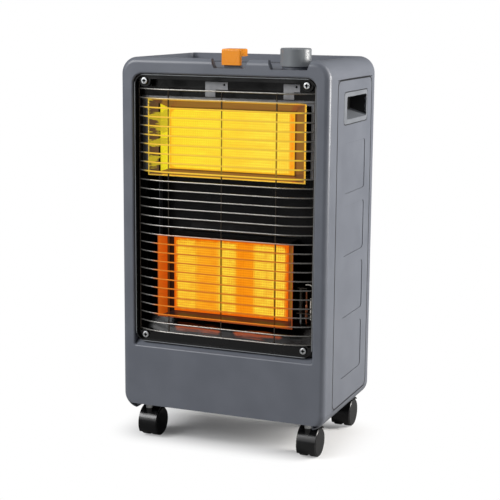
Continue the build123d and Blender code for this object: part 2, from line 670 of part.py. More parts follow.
def plaque(half_w, z0, z1, tiles):
    """Ceramic plaque of one or more tiles with a fine groove between them."""
    y0 = behind(PLAQUE_SET)
    body = block(-half_w, half_w, y0, y0 + PLAQUE_T, z0, z1)
    for i in range(1, tiles):
        x = -half_w + 2 * half_w * i / tiles
        body -= block(x - TILE_GROOVE / 2, x + TILE_GROOVE / 2, y0 - 1, y0 + 1.0, z0 - 1, z1 + 1)
    return body


def reflector(half_w, z0, z1, flare, rim):
    """Flared sheet rim from the burner box forward."""
    sides, low, high = flare
    t = LINER_SHEET

    def horn(grow):
        inner = Plane.XZ.offset(-behind(PLAQUE_SET)) * rectangle(
            -half_w - grow, half_w + grow, z0 - grow, z1 + grow)
        outer = Plane.XZ.offset(-behind(rim)) * rectangle(
            -half_w - sides - grow, half_w + sides + grow, z0 - low - grow, z1 + high + grow)
        return loft([inner, outer])

    return horn(t) - horn(0)


def reflector_tray():
    """Glossy black tray that slopes forward under the lower burner."""
    t = LINER_SHEET
    half = LINER_X - LINER_SHEET - PART_GAP
    floor_z = LINER_Z0 + LINER_SHEET
    points = [(behind(TRAY_FOOT), floor_z), (behind(TRAY_FOOT) + t, floor_z),
              (behind(TRAY_FOOT) + t, floor_z + 6), (behind(TRAY_BACK), LOWER_Z0 - TRAY_UNDER - t),
              (behind(TRAY_BACK), LOWER_Z0 - TRAY_UNDER), (behind(TRAY_FOOT), floor_z + 8)]
    return side_slab(make_face(Polyline(*points, close=True)), -half, half)


def venturi(z):
    """Mixing tube along X behind the firebox, with air ports and a neck into the burner box."""
    y = behind(VENTURI_AXIS)
    wall = VENTURI_WALL
    throat = VENTURI_END * 0.6
    neck_y0 = behind(PLAQUE_SET) + BOX_DEPTH
    neck_y1 = y + VENTURI_R + wall
    horn = turned([(0, 0), (VENTURI_R, 0), (VENTURI_R, throat), (VENTURI_MOUTH_R, VENTURI_END - 14),
                   (VENTURI_MOUTH_R, VENTURI_END), (0, VENTURI_END)], (0, y, z), (1, 0, 0))
    tube = rod((0, neck_y0, z), (0, neck_y1, z), NECK_R) + horn
    tube -= rod((0, neck_y0 - 1, z), (0, neck_y1 - wall, z), NECK_R - wall)
    tube -= rod((0, y, z), (VENTURI_END - wall, y, z), VENTURI_R - wall)
    port = block(VENTURI_END - 10, VENTURI_END - 4, y - 4, y + 4, z - VENTURI_MOUTH_R - 1,
                 z + VENTURI_MOUTH_R + 1)
    return tube - port


def injectors():
    """Brass injectors screwed to the ends of the mixing tubes."""
    length = INJECTOR_X - VENTURI_END
    solids = []
    for z in (UPPER_MID, LOWER_MID):
        body = turned([(0, 0), (5, 0), (5, length - 2), (4, length), (0, length)],
                      (VENTURI_END, behind(VENTURI_AXIS), z), (1, 0, 0))
        nut = extrude(Plane(origin=(VENTURI_END + 2, behind(VENTURI_AXIS), z), z_dir=(1, 0, 0))
                      * RegularPolygon(7.5, 6), amount=6)
        solids.append(body + nut)
    return solids


# ------------------------------------------------------------------ pilot group
def pilot_burner():
    """Bracket on the liner's right wall with the pilot burner standing on it."""
    y = behind(PILOT_SET)
    wall_x = LINER_X - LINER_SHEET
    bracket = block(PILOT_X - 6, wall_x, y - 8, y + 8, PILOT_Z, PILOT_Z + SHEET)
    bracket += block(wall_x - SHEET, wall_x, y - 8, y + 8, PILOT_Z, PILOT_Z + 22)
    for x in (COUPLE_X, SPARK_X):
        bracket -= rod((x, y, PILOT_Z - 1), (x, y, PILOT_Z + SHEET + 1), 2.5 + SLIDE_GAP)
    burner = turned([(0, 0), (4.5, 0), (4.5, 20), (3.2, 24), (3.2, 34), (5, 38), (5, 42), (0, 42)],
                    (PILOT_X, y, PILOT_Z))
    hood = block(PILOT_X - 5, PILOT_X + 12, y - 5, y + 5, PILOT_Z + 42, PILOT_Z + 43)
    return bracket + burner + hood


def thermocouple():
    """Probe beside the pilot flame and its lead to the valve."""
    y = behind(PILOT_SET)
    probe = turned([(0, -6), (2.5, -6), (2.5, 12), (1.6, 14), (1.6, 36), (0, 38)],
                   (COUPLE_X, y, PILOT_Z))
    lead = tube_along([(COUPLE_X, y, PILOT_Z - 6), (COUPLE_X, y, LINE_Z),
                       (COUPLE_X, behind(VENTURI_AXIS), LINE_Z),
                       (COUPLE_X, behind(VENTURI_AXIS), VALVE_Z0)], LEAD_D / 2, 12.0)
    return probe + lead


def spark_electrode():
    """White ceramic rod with a bent wire tip over the pilot."""
    y = behind(PILOT_SET)
    ceramic = turned([(0, -10), (2.5, -10), (2.5, 24), (1.8, 26), (0, 26)], (SPARK_X, y, PILOT_Z))
    tip = tube_along([(SPARK_X, y, PILOT_Z + 25), (SPARK_X, y, PILOT_Z + 48),
                      (COUPLE_X - 2, y, PILOT_Z + 48)], 0.8, 4.0)
    return ceramic + tip


def ignition_lead():
    """Insulated lead from the igniter's terminal down to the electrode."""
    y = behind(PILOT_SET)
    back_y = behind(VENTURI_AXIS + 12)
    start_y = behind(PLUNGER_SET) + PIEZO_D / 2 + 6
    high_z = CEILING_Z - 25
    low_z = CEILING_Z - 83
    points = [(KEY_X, start_y, high_z), (KEY_X, back_y, high_z), (KEY_X, back_y, low_z),
              (SPARK_X, back_y, low_z), (SPARK_X, back_y, LINE_Z), (SPARK_X, y, LINE_Z),
              (SPARK_X, y, PILOT_Z - 10)]
    return tube_along(points, LEAD_D / 2, 12.0)


# ------------------------------------------------------------------ valve, pipes and inlet
def gas_valve():
    """Valve body hung from the tray floor: a boss round the stem, the casting and its outlets."""
    x0, x1, d0, d1 = VALVE_BODY
    stem = (KNOB_X, behind(KNOB_SET))
    body = block(x0, x1, behind(d0), behind(d1), VALVE_Z0, VALVE_Z1)
    body = fillet(body.edges().filter_by(Axis.Z), 5)
    boss_r = VALVE_BOSS_D / 2
    body += rod((*stem, VALVE_Z0), (*stem, CEILING_Z), boss_r)
    body += block(KNOB_X - boss_r, KNOB_X + boss_r, stem[1], behind(d0 + 6), VALVE_Z0 + 4, VALVE_Z1 - 4)
    for x, d in ((x0 + 8, d1 - 12), (x1 - 8, d1 - 12), (x1 - 8, d0 + 10)):
        body += rod((x, behind(d), VALVE_Z1), (x, behind(d), CEILING_Z), 5.0)
    bore = STEM_D / 2 + SHAFT_GAP
    body -= rod((*stem, VALVE_Z0 + 6), (*stem, CEILING_Z + 1), bore)
    return body


def pipe_down(x, z, diameter, bend):
    """Pipe from an injector along X, then up to the valve."""
    y = behind(VENTURI_AXIS)
    return tube_along([(INJECTOR_X, y, z), (x, y, z), (x, y, VALVE_Z0)], diameter / 2, bend)


def pilot_gas_pipe():
    """Thin pipe from the valve down behind the firebox and forward to the pilot."""
    y = behind(PILOT_SET)
    back = behind(VENTURI_AXIS)
    return tube_along([(PILOT_X, y, PILOT_Z), (PILOT_X, y, LINE_Z), (PILOT_X, back, LINE_Z),
                       (PILOT_X, back, VALVE_Z0)], PILOT_PIPE_D / 2, 12.0)


def inlet_pipe():
    """Supply pipe from the nozzle up to the valve's rear face."""
    y = behind(INLET_SET)
    z = (VALVE_Z0 + VALVE_Z1) / 2
    port_x = (VALVE_BODY[0] + VALVE_BODY[1]) / 2
    return tube_along([(port_x, behind(VALVE_BODY[3]), z), (port_x, y, z), (INLET_X, y, z),
                       (INLET_X, y, INLET_Z + 14)], INLET_PIPE_D / 2, 18.0)


def gas_inlet():
    """Brass hose nozzle pointing down from its angle bracket on the liner's back."""
    y0, y1 = behind(LINER_BACK), behind(INLET_SET) + 14
    plate = block(INLET_X - 14, INLET_X + 14, y0, y1, INLET_Z - SHEET, INLET_Z)
    plate += block(INLET_X - 14, INLET_X + 14, y0, y0 + SHEET, INLET_Z, INLET_Z + 24)
    r = NOZZLE_D / 2
    low = -SHEET - 4 - NOZZLE_LEN
    points = [(0, 14), (7, 14), (7, 0), (9, -SHEET), (9, -SHEET - 4), (r, -SHEET - 4),
              (r, low), (0, low)]
    return plate + turned(points, (INLET_X, behind(INLET_SET), INLET_Z))


# ------------------------------------------------------------------ controls
def piezo_igniter():
    """Igniter body under the tray floor with a bore for the plunger and a terminal at the rear."""
    x, y = KEY_X, behind(PLUNGER_SET)
    r = PIEZO_D / 2
    bore = PLUNGER_D / 2 + SLIDE_GAP
    floor_z = HEIGHT + KEY_PROUD - KEY_PLATE - PLUNGER_LEN - KEY_TRAVEL - 1 - CEILING_Z
    points = [(0, -PIEZO_LEN), (r, -PIEZO_LEN), (r, 0), (bore, 0), (bore, floor_z), (0, floor_z)]
    body = turned(points, (x, y, CEILING_Z))
    ears = block(x - 14, x + 14, y - r, y + r, CEILING_Z - SHEET, CEILING_Z) - rod(
        (x, y, CEILING_Z - 5), (x, y, CEILING_Z + 1), r - 1)
    terminal = rod((x, y, CEILING_Z - 25), (x, y + r + 6, CEILING_Z - 25), 2.5)
    return body + ears + terminal


def igniter_key():
    """Orange key: a thick upper plate, a front plate and the plunger."""
    x0, x1 = KEY_X - KEY_W / 2, KEY_X + KEY_W / 2
    y0 = behind(KEY_SET)
    top = HEIGHT + KEY_PROUD
    key = block(x0, x1, y0, y0 + KEY_D, top - KEY_PLATE, top)
    key += block(x0, x1, y0, y0 + KEY_FACE, TOP_Z + CONTROL_LIFT, top)
    key = fillet(key.faces().sort_by(Axis.Z)[-1].edges(), 2.5)
    key = fillet(key.faces().sort_by(Axis.Y)[0].edges().filter_by(Axis.Z), 1.5)
    x, y = KEY_X, behind(PLUNGER_SET)
    return key + rod((x, y, top - KEY_PLATE - PLUNGER_LEN), (x, y, top - KEY_PLATE), PLUNGER_D / 2)


def control_knob():
    """Smooth hollow knob with a chamfered top edge, a hub and a raised pointer."""
    r = KNOB_D / 2
    x, y, z = KNOB_X, behind(KNOB_SET), TOP_Z + CONTROL_LIFT
    hub = STEM_D / 2 + KNOB_WALL
    roof = KNOB_H - KNOB_WALL
    points = [(STEM_D / 2, HUB_LIFT), (hub, HUB_LIFT), (hub, roof), (r - KNOB_WALL, roof), (r - KNOB_WALL, 0),
              (r, 0), (r, KNOB_H - KNOB_EDGE), (r - KNOB_EDGE, KNOB_H), (0, KNOB_H), (0, stem_top()),
              (STEM_D / 2, stem_top())]
    pointer = block(x - POINTER_W / 2, x + POINTER_W / 2, y - r + 2 * KNOB_EDGE, y - r / 3,
                    z + KNOB_H - POINTER_H, z + KNOB_H + POINTER_H)
    return turned(points, (x, y, z)) + pointer


def stem_top():
    """Upper end of the valve stem above the knob's lower edge."""
    return KNOB_H - KNOB_WALL - 2


def valve_stem():
    """Steel stem from the valve's bore up into the knob."""
    x, y = KNOB_X, behind(KNOB_SET)
    low = VALVE_Z0 + 6 + KNOB_TRAVEL + 1
    return rod((x, y, low), (x, y, TOP_Z + CONTROL_LIFT + stem_top()), STEM_D / 2)


def stem_washer():
    """Washer on the stem under the knob's hub, which takes the push."""
    z = TOP_Z + CONTROL_LIFT + HUB_LIFT - PART_GAP - SHEET
    bore = STEM_D / 2 + SHAFT_GAP
    points = [(bore, 0), (STEM_WASHER_D / 2, 0), (STEM_WASHER_D / 2, SHEET), (bore, SHEET)]
    return turned(points, (KNOB_X, behind(KNOB_SET), z))


# ------------------------------------------------------------------ rear panel
def louvre(x, z):
    """One pressed hood, open below, and its slot."""
    face = REAR - REAR_SET
    half = LOUVRE_W / 2
    t = SHEET * 0.7
    outer = [(face - SHEET, z + LOUVRE_H), (face, z + LOUVRE_H), (face + LOUVRE_PROUD, z + 1.5),
             (face + LOUVRE_PROUD, z), (face - SHEET, z)]
    inner = [(face - SHEET - 1, z + LOUVRE_H - t * 2), (face, z + LOUVRE_H - t * 2),
             (face + LOUVRE_PROUD - t, z + 1.5), (face + LOUVRE_PROUD - t, z - 1),
             (face - SHEET - 1, z - 1)]
    hood = side_slab(make_face(Polyline(*outer, close=True)), x - half, x + half)
    hollow = side_slab(make_face(Polyline(*inner, close=True)), x - half + t, x + half - t)
    return hood, hollow


def rear_panel():
    """Louvred cover with a turned edge and a slot for the hose at its foot."""
    face = REAR - REAR_SET
    clearance = 1.0
    outline = case_outline(WALL + clearance)
    foot = PANEL_Z + BASE_T + clearance
    keep = block(-WIDTH, WIDTH, FRONT, REAR, foot, HEIGHT)
    panel = slab(outline, face - SHEET, face) & keep
    rim = slab(outline, face, face + REAR_RIM) - slab(case_outline(WALL + clearance + SHEET),
                                                     face - 1, REAR + 1)
    panel += rim & keep
    rows = [UPPER_MID + LOUVRE_PITCH * (i - LOUVRE_TOP_ROWS / 2) for i in range(LOUVRE_TOP_ROWS)]
    rows += [foot + HOSE_SLOT_H + LOUVRE_PITCH * (i + 2) for i in range(LOUVRE_FOOT_ROWS)]
    pairs = [louvre(x, z) for z in rows for x in (-LOUVRE_X, LOUVRE_X)]
    panel = panel.fuse(*[hood for hood, _ in pairs]).cut(*[hollow for _, hollow in pairs])
    slot = rectangle(-HOSE_SLOT_W / 2, HOSE_SLOT_W / 2, foot - HOSE_SLOT_R, foot + HOSE_SLOT_H, HOSE_SLOT_R)
    return panel - slab(slot, face - SHEET - 1, REAR)


# ------------------------------------------------------------------ castors
def castor_hood(x, y):
    """Hood with a web between the wheels, a boss for the stem and a shell over the treads."""
    axle_y = y + CASTOR_TRAIL
    half = HOOD_WEB / 2 + WHEEL_GAP + WHEEL_W
    rim_in = HOOD_R - HOOD_WALL

    def disc(radius, x_half):
        return rod((x - x_half, axle_y, AXLE_Z), (x + x_half, axle_y, AXLE_Z), radius)

    far = 2 * HOOD_R
    start, end = radians(HOOD_REAR_ANGLE), radians(HOOD_FRONT_ANGLE)
    steps = 4
    angles = [start + (end - start) * i / steps for i in range(steps + 1)]
    fan = [(axle_y, AXLE_Z)] + [(axle_y + far * cos(a), AXLE_Z + far * sin(a)) for a in angles]
    sector = side_slab(make_face(Polyline(*fan, close=True)), x - half - 1, x + half + 1)
    shell = (disc(HOOD_R, half) - disc(rim_in, half + 1)) & sector
    web = disc(rim_in, HOOD_WEB / 2) & (sector + disc(AXLE_D, half))
    boss = rod((x, y, AXLE_Z + 8), (x, y, AXLE_Z + HOOD_R), HOOD_WEB)
    boss = boss & (disc(HOOD_R, half) + block(x - half, x + half, y - HOOD_WEB, y + HOOD_WEB, AXLE_Z + 15,
                                             AXLE_Z + HOOD_R))
    boss -= disc(WHEEL_D / 2 + HOOD_GAP, half) - disc(WHEEL_D / 2 + HOOD_GAP, HOOD_WEB / 2)
    hood = shell + web + boss
    hood -= rod((x, y, AXLE_Z + 12), (x, y, AXLE_Z + 2 * HOOD_R), CASTOR_STEM_D / 2)
    return hood - disc(AXLE_D / 2, half)


def castor_stem(x, y):
    """Bright steel stem with its collar, from the hood into the socket."""
    r = CASTOR_STEM_D / 2
    top = AXLE_Z + HOOD_R
    collar_z1 = PANEL_Z - SOCKET_FLANGE_T - PART_GAP
    points = [(0, AXLE_Z + 12), (r, AXLE_Z + 12), (r, top), (COLLAR_D / 2, top),
              (COLLAR_D / 2, collar_z1), (r, collar_z1), (r, STEM_TOP_Z), (0, STEM_TOP_Z)]
    return turned(points, (x, y, 0))


def castor_axle(x, y):
    """Steel pin through the web, with a wheel on each end."""
    half = HOOD_WEB / 2 + WHEEL_GAP + WHEEL_W - WHEEL_DISH - WHEEL_GAP
    axle_y = y + CASTOR_TRAIL
    return rod((x - half, axle_y, AXLE_Z), (x + half, axle_y, AXLE_Z), AXLE_D / 2)


def castor_wheel(x, y, side):
    """One wheel with a chamfered outer shoulder and a blind hub bore."""
    bore = AXLE_D / 2 + SHAFT_GAP
    r = WHEEL_D / 2
    w = WHEEL_W
    points = [(bore, 0), (r, 0), (r, w - TREAD_R), (r - TREAD_R, w), (0, w), (0, w - WHEEL_DISH),
              (bore, w - WHEEL_DISH)]
    start = x + side * (HOOD_WEB / 2 + WHEEL_GAP)
    return turned(points, (start, y + CASTOR_TRAIL, AXLE_Z), (side, 0, 0))


# ------------------------------------------------------------------ assembly
def heater_parts():
    """Every sub-part under the name of its file."""
    parts = {
        "case_shell": case_shell(),
        "side_panel_right": side_panel(),
        "side_panel_left": mirrored(side_panel()),
        "handle_cup_right": handle_cup(),
        "handle_cup_left": mirrored(handle_cup()),
        "base_plate": base_plate(),
        "castor_sockets": castor_sockets(),
        "guard_frame": guard_frame(),
        "guard_wires": guard_wires(),
        "guard_screws": guard_screws(),
        "firebox_liner": firebox_liner(),
        "heat_shield": heat_shield(),
        "shield_tabs": shield_tabs(),
        "burner_carrier": burner_carrier(),
        "upper_burner_box": burner_box(UPPER_W / 2, UPPER_Z0, UPPER_Z1),
        "upper_plaque": plaque(UPPER_W / 2, UPPER_Z0, UPPER_Z1, 1),
        "upper_reflector": reflector(UPPER_W / 2, UPPER_Z0, UPPER_Z1, UPPER_FLARE, UPPER_RIM),
        "lower_burner_box": burner_box(LOWER_W / 2, LOWER_Z0, LOWER_Z1),
        "lower_plaque": plaque(LOWER_W / 2, LOWER_Z0, LOWER_Z1, LOWER_TILES),
        "lower_reflector": reflector(LOWER_W / 2, LOWER_Z0, LOWER_Z1, LOWER_FLARE, LOWER_RIM),
        "reflector_tray": reflector_tray(),
        "upper_venturi": venturi(UPPER_MID),
        "lower_venturi": venturi(LOWER_MID),
        "injectors": injectors(),
        "pilot_burner": pilot_burner(),
        "thermocouple": thermocouple(),
        "spark_electrode": spark_electrode(),
        "ignition_lead": ignition_lead(),
        "gas_valve": gas_valve(),
        "upper_gas_pipe": pipe_down(UPPER_PIPE_X, UPPER_MID, PIPE_D, 8.0),
        "lower_gas_pipe": pipe_down(LOWER_PIPE_X, LOWER_MID, PIPE_D, 14.0),
        "pilot_gas_pipe": pilot_gas_pipe(),
        "inlet_pipe": inlet_pipe(),
        "gas_inlet": gas_inlet(),
        "piezo_igniter": piezo_igniter(),
        "igniter_key": igniter_key(),
        "control_knob": control_knob(),
        "valve_stem": valve_stem(),
        "stem_washer": stem_washer(),
        "rear_panel": rear_panel(),
    }
    names = ("front_left", "front_right", "rear_left", "rear_right")
    for name, (x, y) in zip(names, castor_places()):
        parts[f"castor_hood_{name}"] = castor_hood(x, y)
        parts[f"castor_stem_{name}"] = castor_stem(x, y)
        parts[f"castor_axle_{name}"] = castor_axle(x, y)
        parts[f"wheel_{name}_left"] = castor_wheel(x, y, -1)
        parts[f"wheel_{name}_right"] = castor_wheel(x, y, 1)
    return parts


os.makedirs("parts", exist_ok=True)
for node, shape in heater_parts().items():
    if isinstance(shape, list):
        shape = Compound(children=shape)
    export_step(shape, f"parts/{node}.step")
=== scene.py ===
"""Portable gas cabinet heater: finishes, small pieces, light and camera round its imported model.

Everything is in metres, +Z up, with the guarded front facing -Y.
"""

import json
import logging
import math
from abc import ABC, abstractmethod
from dataclasses import dataclass
from enum import Enum
from typing import Callable, Iterable, Sequence

import bmesh
import bpy
from bpy.types import Material, Node, NodeSocket, NodeTree, Object, World
from mathutils import Matrix, Vector

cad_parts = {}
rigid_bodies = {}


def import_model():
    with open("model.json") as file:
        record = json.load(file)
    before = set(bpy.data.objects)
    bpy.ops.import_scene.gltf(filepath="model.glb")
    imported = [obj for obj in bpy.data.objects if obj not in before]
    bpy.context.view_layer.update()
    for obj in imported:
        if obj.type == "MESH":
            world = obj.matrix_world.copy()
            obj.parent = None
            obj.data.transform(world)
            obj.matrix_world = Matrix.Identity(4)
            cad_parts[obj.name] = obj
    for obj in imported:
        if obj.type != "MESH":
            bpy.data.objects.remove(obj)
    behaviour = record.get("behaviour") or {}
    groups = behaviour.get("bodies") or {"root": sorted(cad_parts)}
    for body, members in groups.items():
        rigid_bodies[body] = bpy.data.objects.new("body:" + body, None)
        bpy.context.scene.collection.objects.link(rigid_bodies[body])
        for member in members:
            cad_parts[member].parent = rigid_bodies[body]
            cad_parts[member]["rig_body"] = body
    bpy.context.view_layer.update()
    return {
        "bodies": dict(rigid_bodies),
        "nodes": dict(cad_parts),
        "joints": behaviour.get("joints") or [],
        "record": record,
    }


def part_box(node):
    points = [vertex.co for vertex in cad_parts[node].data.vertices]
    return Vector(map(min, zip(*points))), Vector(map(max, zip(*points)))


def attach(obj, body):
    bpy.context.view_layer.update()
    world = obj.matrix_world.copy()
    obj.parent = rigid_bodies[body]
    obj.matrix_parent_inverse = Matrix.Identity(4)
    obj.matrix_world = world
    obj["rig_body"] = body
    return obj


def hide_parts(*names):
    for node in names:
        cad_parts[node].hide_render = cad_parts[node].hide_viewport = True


LOG = logging.getLogger("heater")
MM = 0.001
NEAR = 1e-5                     # places closer than this count as one
CABINET = "cabinet"
CASTORS = ("front_left", "front_right", "rear_left", "rear_right")
Colour = tuple[float, float, float, float]
Stops = tuple[tuple[float, str], ...]       # factor value and hex colour of each stop
Source = Node | NodeSocket                  # of a node, its first enabled output is meant
Inputs = dict[str, object]                  # what goes into a Principled node


# ---- colour and nodes
def linear(hex_colour: str) -> Colour:
    """Turn an sRGB hex colour into a linear RGBA value.

    Args:
        hex_colour: Colour as "#rrggbb".

    Returns:
        The linear colour with alpha 1.
    """
    parts = [int(hex_colour[i:i + 2], 16) / 255 for i in (1, 3, 5)]
    red, green, blue = (c / 12.92 if c <= 0.04045 else ((c + 0.055) / 1.055) ** 2.4 for c in parts)
    return red, green, blue, 1.0


def bare_tree(owner: Material | World) -> NodeTree:
    """Give a material or world an empty node tree.

    Args:
        owner: The material or world.

    Returns:
        Its tree, with nothing in it.
    """
    owner.use_nodes = True
    owner.node_tree.nodes.clear()
    return owner.node_tree


def add_node(tree: NodeTree, kind: str, inputs: dict | None = None, **settings: object) -> Node:
    """Add a node with its settings, values and links.

    Args:
        tree: Node tree that gets the node.
        kind: The node's type name, after "ShaderNode".
        inputs: Socket name or index to a value, or to the source that feeds it.
        **settings: Attributes set on the node itself.

    Returns:
        The new node.
    """
    node = tree.nodes.new(f"ShaderNode{kind}")
    for key, value in settings.items():
        setattr(node, key, value)
    for key, value in (inputs or {}).items():
        if isinstance(value, Node):
            value = next(output for output in value.outputs if output.enabled)
        if isinstance(value, NodeSocket):
            tree.links.new(value, node.inputs[key])
        else:
            node.inputs[key].default_value = value
    return node


@dataclass(frozen=True)
class Finish(ABC):
    """One real finish, made as a node material."""

    name: str

    def build(self) -> Material:
        """Make the material.

        Returns:
            The material, with its nodes linked.
        """
        material = bpy.data.materials.new(self.name)
        tree = bare_tree(material)
        inputs = self.shade(tree, add_node(tree, "TexCoord").outputs["Object"])
        add_node(tree, "OutputMaterial", {"Surface": add_node(tree, "BsdfPrincipled", inputs)})
        return material

    @abstractmethod
    def shade(self, tree: NodeTree, place: Source) -> Inputs:
        """Add the finish's own nodes.

        Args:
            tree: Tree of the material.
            place: Object coordinates.

        Returns:
            What goes into the Principled node.
        """


def towards(tree: NodeTree, start: Source | Colour, colour: str, factor: Source) -> Node:
    """Blend a colour towards a hex colour by a factor."""
    return add_node(tree, "Mix", {"Factor": factor, 6: start, 7: linear(colour)}, data_type="RGBA")


def stretched(tree: NodeTree, place: Source, size_mm: Sequence[float] | float, detail: float = 3.0) -> Node:
    """Make a noise with its own size along each axis.

    Args:
        tree: Tree of the material.
        place: Object coordinates.
        size_mm: Size of its patches along X, Y and Z, or one size for all.
        detail: Octaves of the noise.

    Returns:
        The noise, near 0.5 on average.
    """
    sizes = (size_mm,) * 3 if isinstance(size_mm, float) else size_mm
    scaled = add_node(tree, "Mapping", {"Vector": place, "Scale": tuple(1 / (size * MM) for size in sizes)})
    return add_node(tree, "TexNoise", {"Vector": scaled, "Scale": 1.0, "Detail": detail})


def outside(tree: NodeTree, place: Source, box: Sequence[Vector], through: int = 1,
            corner: float = 12 * MM) -> Node:
    """Say how far a point lies outside a box's outline seen along one axis, below 0 inside it.

    Args:
        tree: Tree of the material.
        place: Object coordinates.
        box: The box's lowest and highest corner.
        through: Axis that is looked along, 0 for X to 2 for Z.
        corner: Radius of the outline's corners, and how far inside the distance still counts.

    Returns:
        The distance in metres.
    """
    low, high = box
    half = (high - low) / 2 - Vector((corner, corner, corner))
    half[through] = 1.0         # the whole model is smaller
    off = add_node(tree, "VectorMath", {0: place, 1: (low + high) / 2}, operation="SUBTRACT")
    folded = add_node(tree, "VectorMath", {0: off}, operation="ABSOLUTE")
    past = add_node(tree, "VectorMath", {0: folded, 1: half}, operation="SUBTRACT")
    clipped = add_node(tree, "VectorMath", {0: past}, operation="MAXIMUM")
    away = add_node(tree, "VectorMath", {0: clipped}, operation="LENGTH")
    return add_node(tree, "Math", {0: away, 1: corner}, operation="SUBTRACT")


def gradient(tree: NodeTree, factor: Source, stops: Stops) -> Node:
    """Turn a factor into a colour through a row of stops.

    Args:
        tree: Tree of the material.
        factor: Value from 0 to 1.
        stops: Factor value and hex colour of each stop.

    Returns:
        The colour ramp.
    """
    ramp = add_node(tree, "ValToRGB", {"Fac": factor})
    elements = ramp.color_ramp.elements
    while len(elements) < len(stops):
        elements.new(0.5)
    for element, (at, colour) in zip(elements, stops):
        element.position, element.color = at, linear(colour)
    return ramp


@dataclass(frozen=True)
class PowderCoat(Finish):
    """Polyester powder coat baked on pressed steel: satin, faint orange peel, painted shade in its joints.
    """

    light: str = "#6f737c"
    dark: str = "#696d76"
    roughness: float = 0.36
    peel_mm: float = 1.6        # real peel is near 1 mm; drawn coarser so that it shows
    cloud_mm: float = 60.0
    joint_mm: float = 4.0
    joint_dark: float = 0.92
    darkest_air: float = 0.4          # share of open air at which the painted shade in a joint is darkest
    unshaded_air: float = 0.85         # and at which there is no painted shade
    # colour of the painted shade in joints and in the seams' gaps
    painted_shade: str = "#0c0d0f"
    # pieces round which the gap's shadow is painted as a dark seam, with their corner radius in mm
    seams: tuple[tuple[str, float], ...] = (("side_panel_right", 14.0), ("handle_cup_right", 7.0))
    seam_mm: float = 2.0
    seam_dark: float = 0.97
    side_mm: float = 1.5        # how far in from the side a face still counts as the side's

    def shade(self, tree: NodeTree, place: Source) -> Inputs:
        """Add the coat's nodes.

        Args:
            tree: Tree of the material.
            place: Object coordinates.

        Returns:
            What goes into the Principled node.
        """
        cloud = stretched(tree, place, self.cloud_mm, 2.0)
        bump = add_node(tree, "Bump", {
            "Height": stretched(tree, place, self.peel_mm, 1.0), "Strength": 0.12, "Distance": 0.3 * MM})
        sheen = add_node(tree, "MapRange", {
            "Value": cloud, "To Min": self.roughness - 0.03, "To Max": self.roughness + 0.03})
        coat = gradient(tree, cloud, ((0.35, self.dark), (0.65, self.light)))
        # painted shade: the coat darkens in joints and recesses by how little open air they have
        open_air = add_node(tree, "AmbientOcclusion", {"Distance": self.joint_mm * MM}, samples=8)
        shade_share = add_node(tree, "MapRange", {
            "Value": open_air.outputs["AO"], "From Min": self.darkest_air, "From Max": self.unshaded_air,
            "To Min": self.joint_dark, "To Max": 0.0})
        coat = towards(tree, coat, self.painted_shade, shade_share)
        for node, corner in self.seams:
            coat = self.seam(tree, place, coat, node, corner)
        return {"Base Color": coat, "Roughness": sheen, "Normal": bump, "IOR": 1.5}

    def seam(self, tree: NodeTree, place: Source, coat: Source, node: str, corner_mm: float) -> Node:
        """Paint the shadow in the gap round a piece that sits in a side face, as a dark line.

        Args:
            tree: Tree of the material.
            place: Object coordinates.
            coat: Colour so far.
            node: The piece at the right; the one at the left has the same outline.
            corner_mm: Radius of its corners.

        Returns:
            The colour with the painted shadow line.
        """
        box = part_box(node)
        axes = add_node(tree, "SeparateXYZ", {"Vector": place})
        from_middle = add_node(tree, "Math", {0: axes.outputs["X"]}, operation="ABSOLUTE")
        on_side = add_node(tree, "Math", {0: from_middle, 1: box[1].x - self.side_mm * MM},
                           operation="GREATER_THAN")
        off = add_node(tree, "Math", {
            0: outside(tree, place, box, 0, corner_mm * MM)}, operation="ABSOLUTE")
        line = add_node(tree, "MapRange", {
            "Value": off, "From Min": 0.5 * self.seam_mm * MM, "From Max": self.seam_mm * MM,
            "To Min": self.seam_dark, "To Max": 0.0})
        both = add_node(tree, "Math", {0: line, 1: on_side}, operation="MULTIPLY")
        return towards(tree, coat, self.painted_shade, both)


@dataclass(frozen=True)
class Enamel(Finish):
    """Black vitreous enamel fired on sheet steel: deep gloss with a slow waviness."""

    dark: str = "#030303"
    light: str = "#080809"
    roughness: float = 0.16
    wave_mm: float = 45.0
    wave: float = 0.25
    specular: float = 0.3
    rim_of: str = ""            # CAD node along whose rolled rim a highlight is painted
    rim: str = "#8a8d90"
    rim_corner: float = 12.0 * MM
    rim_w: float = 1.3 * MM

    def shade(self, tree: NodeTree, place: Source) -> Inputs:
        """Add the enamel's nodes.

        Args:
            tree: Tree of the material.
            place: Object coordinates.

        Returns:
            What goes into the Principled node.
        """
        wave = stretched(tree, place, self.wave_mm)
        bump = add_node(tree, "Bump", {"Height": wave, "Strength": self.wave, "Distance": 2 * MM})
        smear = add_node(tree, "MapRange", {
            "Value": wave, "From Min": 0.3, "From Max": 0.7,
            "To Min": self.roughness, "To Max": self.roughness + 0.12})
        glass = gradient(tree, wave, ((0.35, self.dark), (0.65, self.light)))
        # painted highlight: a pale band just inside the rim's outline
        if self.rim_of:
            from_rim = outside(tree, place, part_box(self.rim_of), corner=self.rim_corner)
            edge = add_node(tree, "Math", {0: from_rim, 1: -self.rim_w}, operation="GREATER_THAN")
            glass = towards(tree, glass, self.rim, edge)
        return {"Base Color": glass, "Roughness": smear, "Normal": bump, "IOR": 1.52,
                "Specular IOR Level": self.specular}


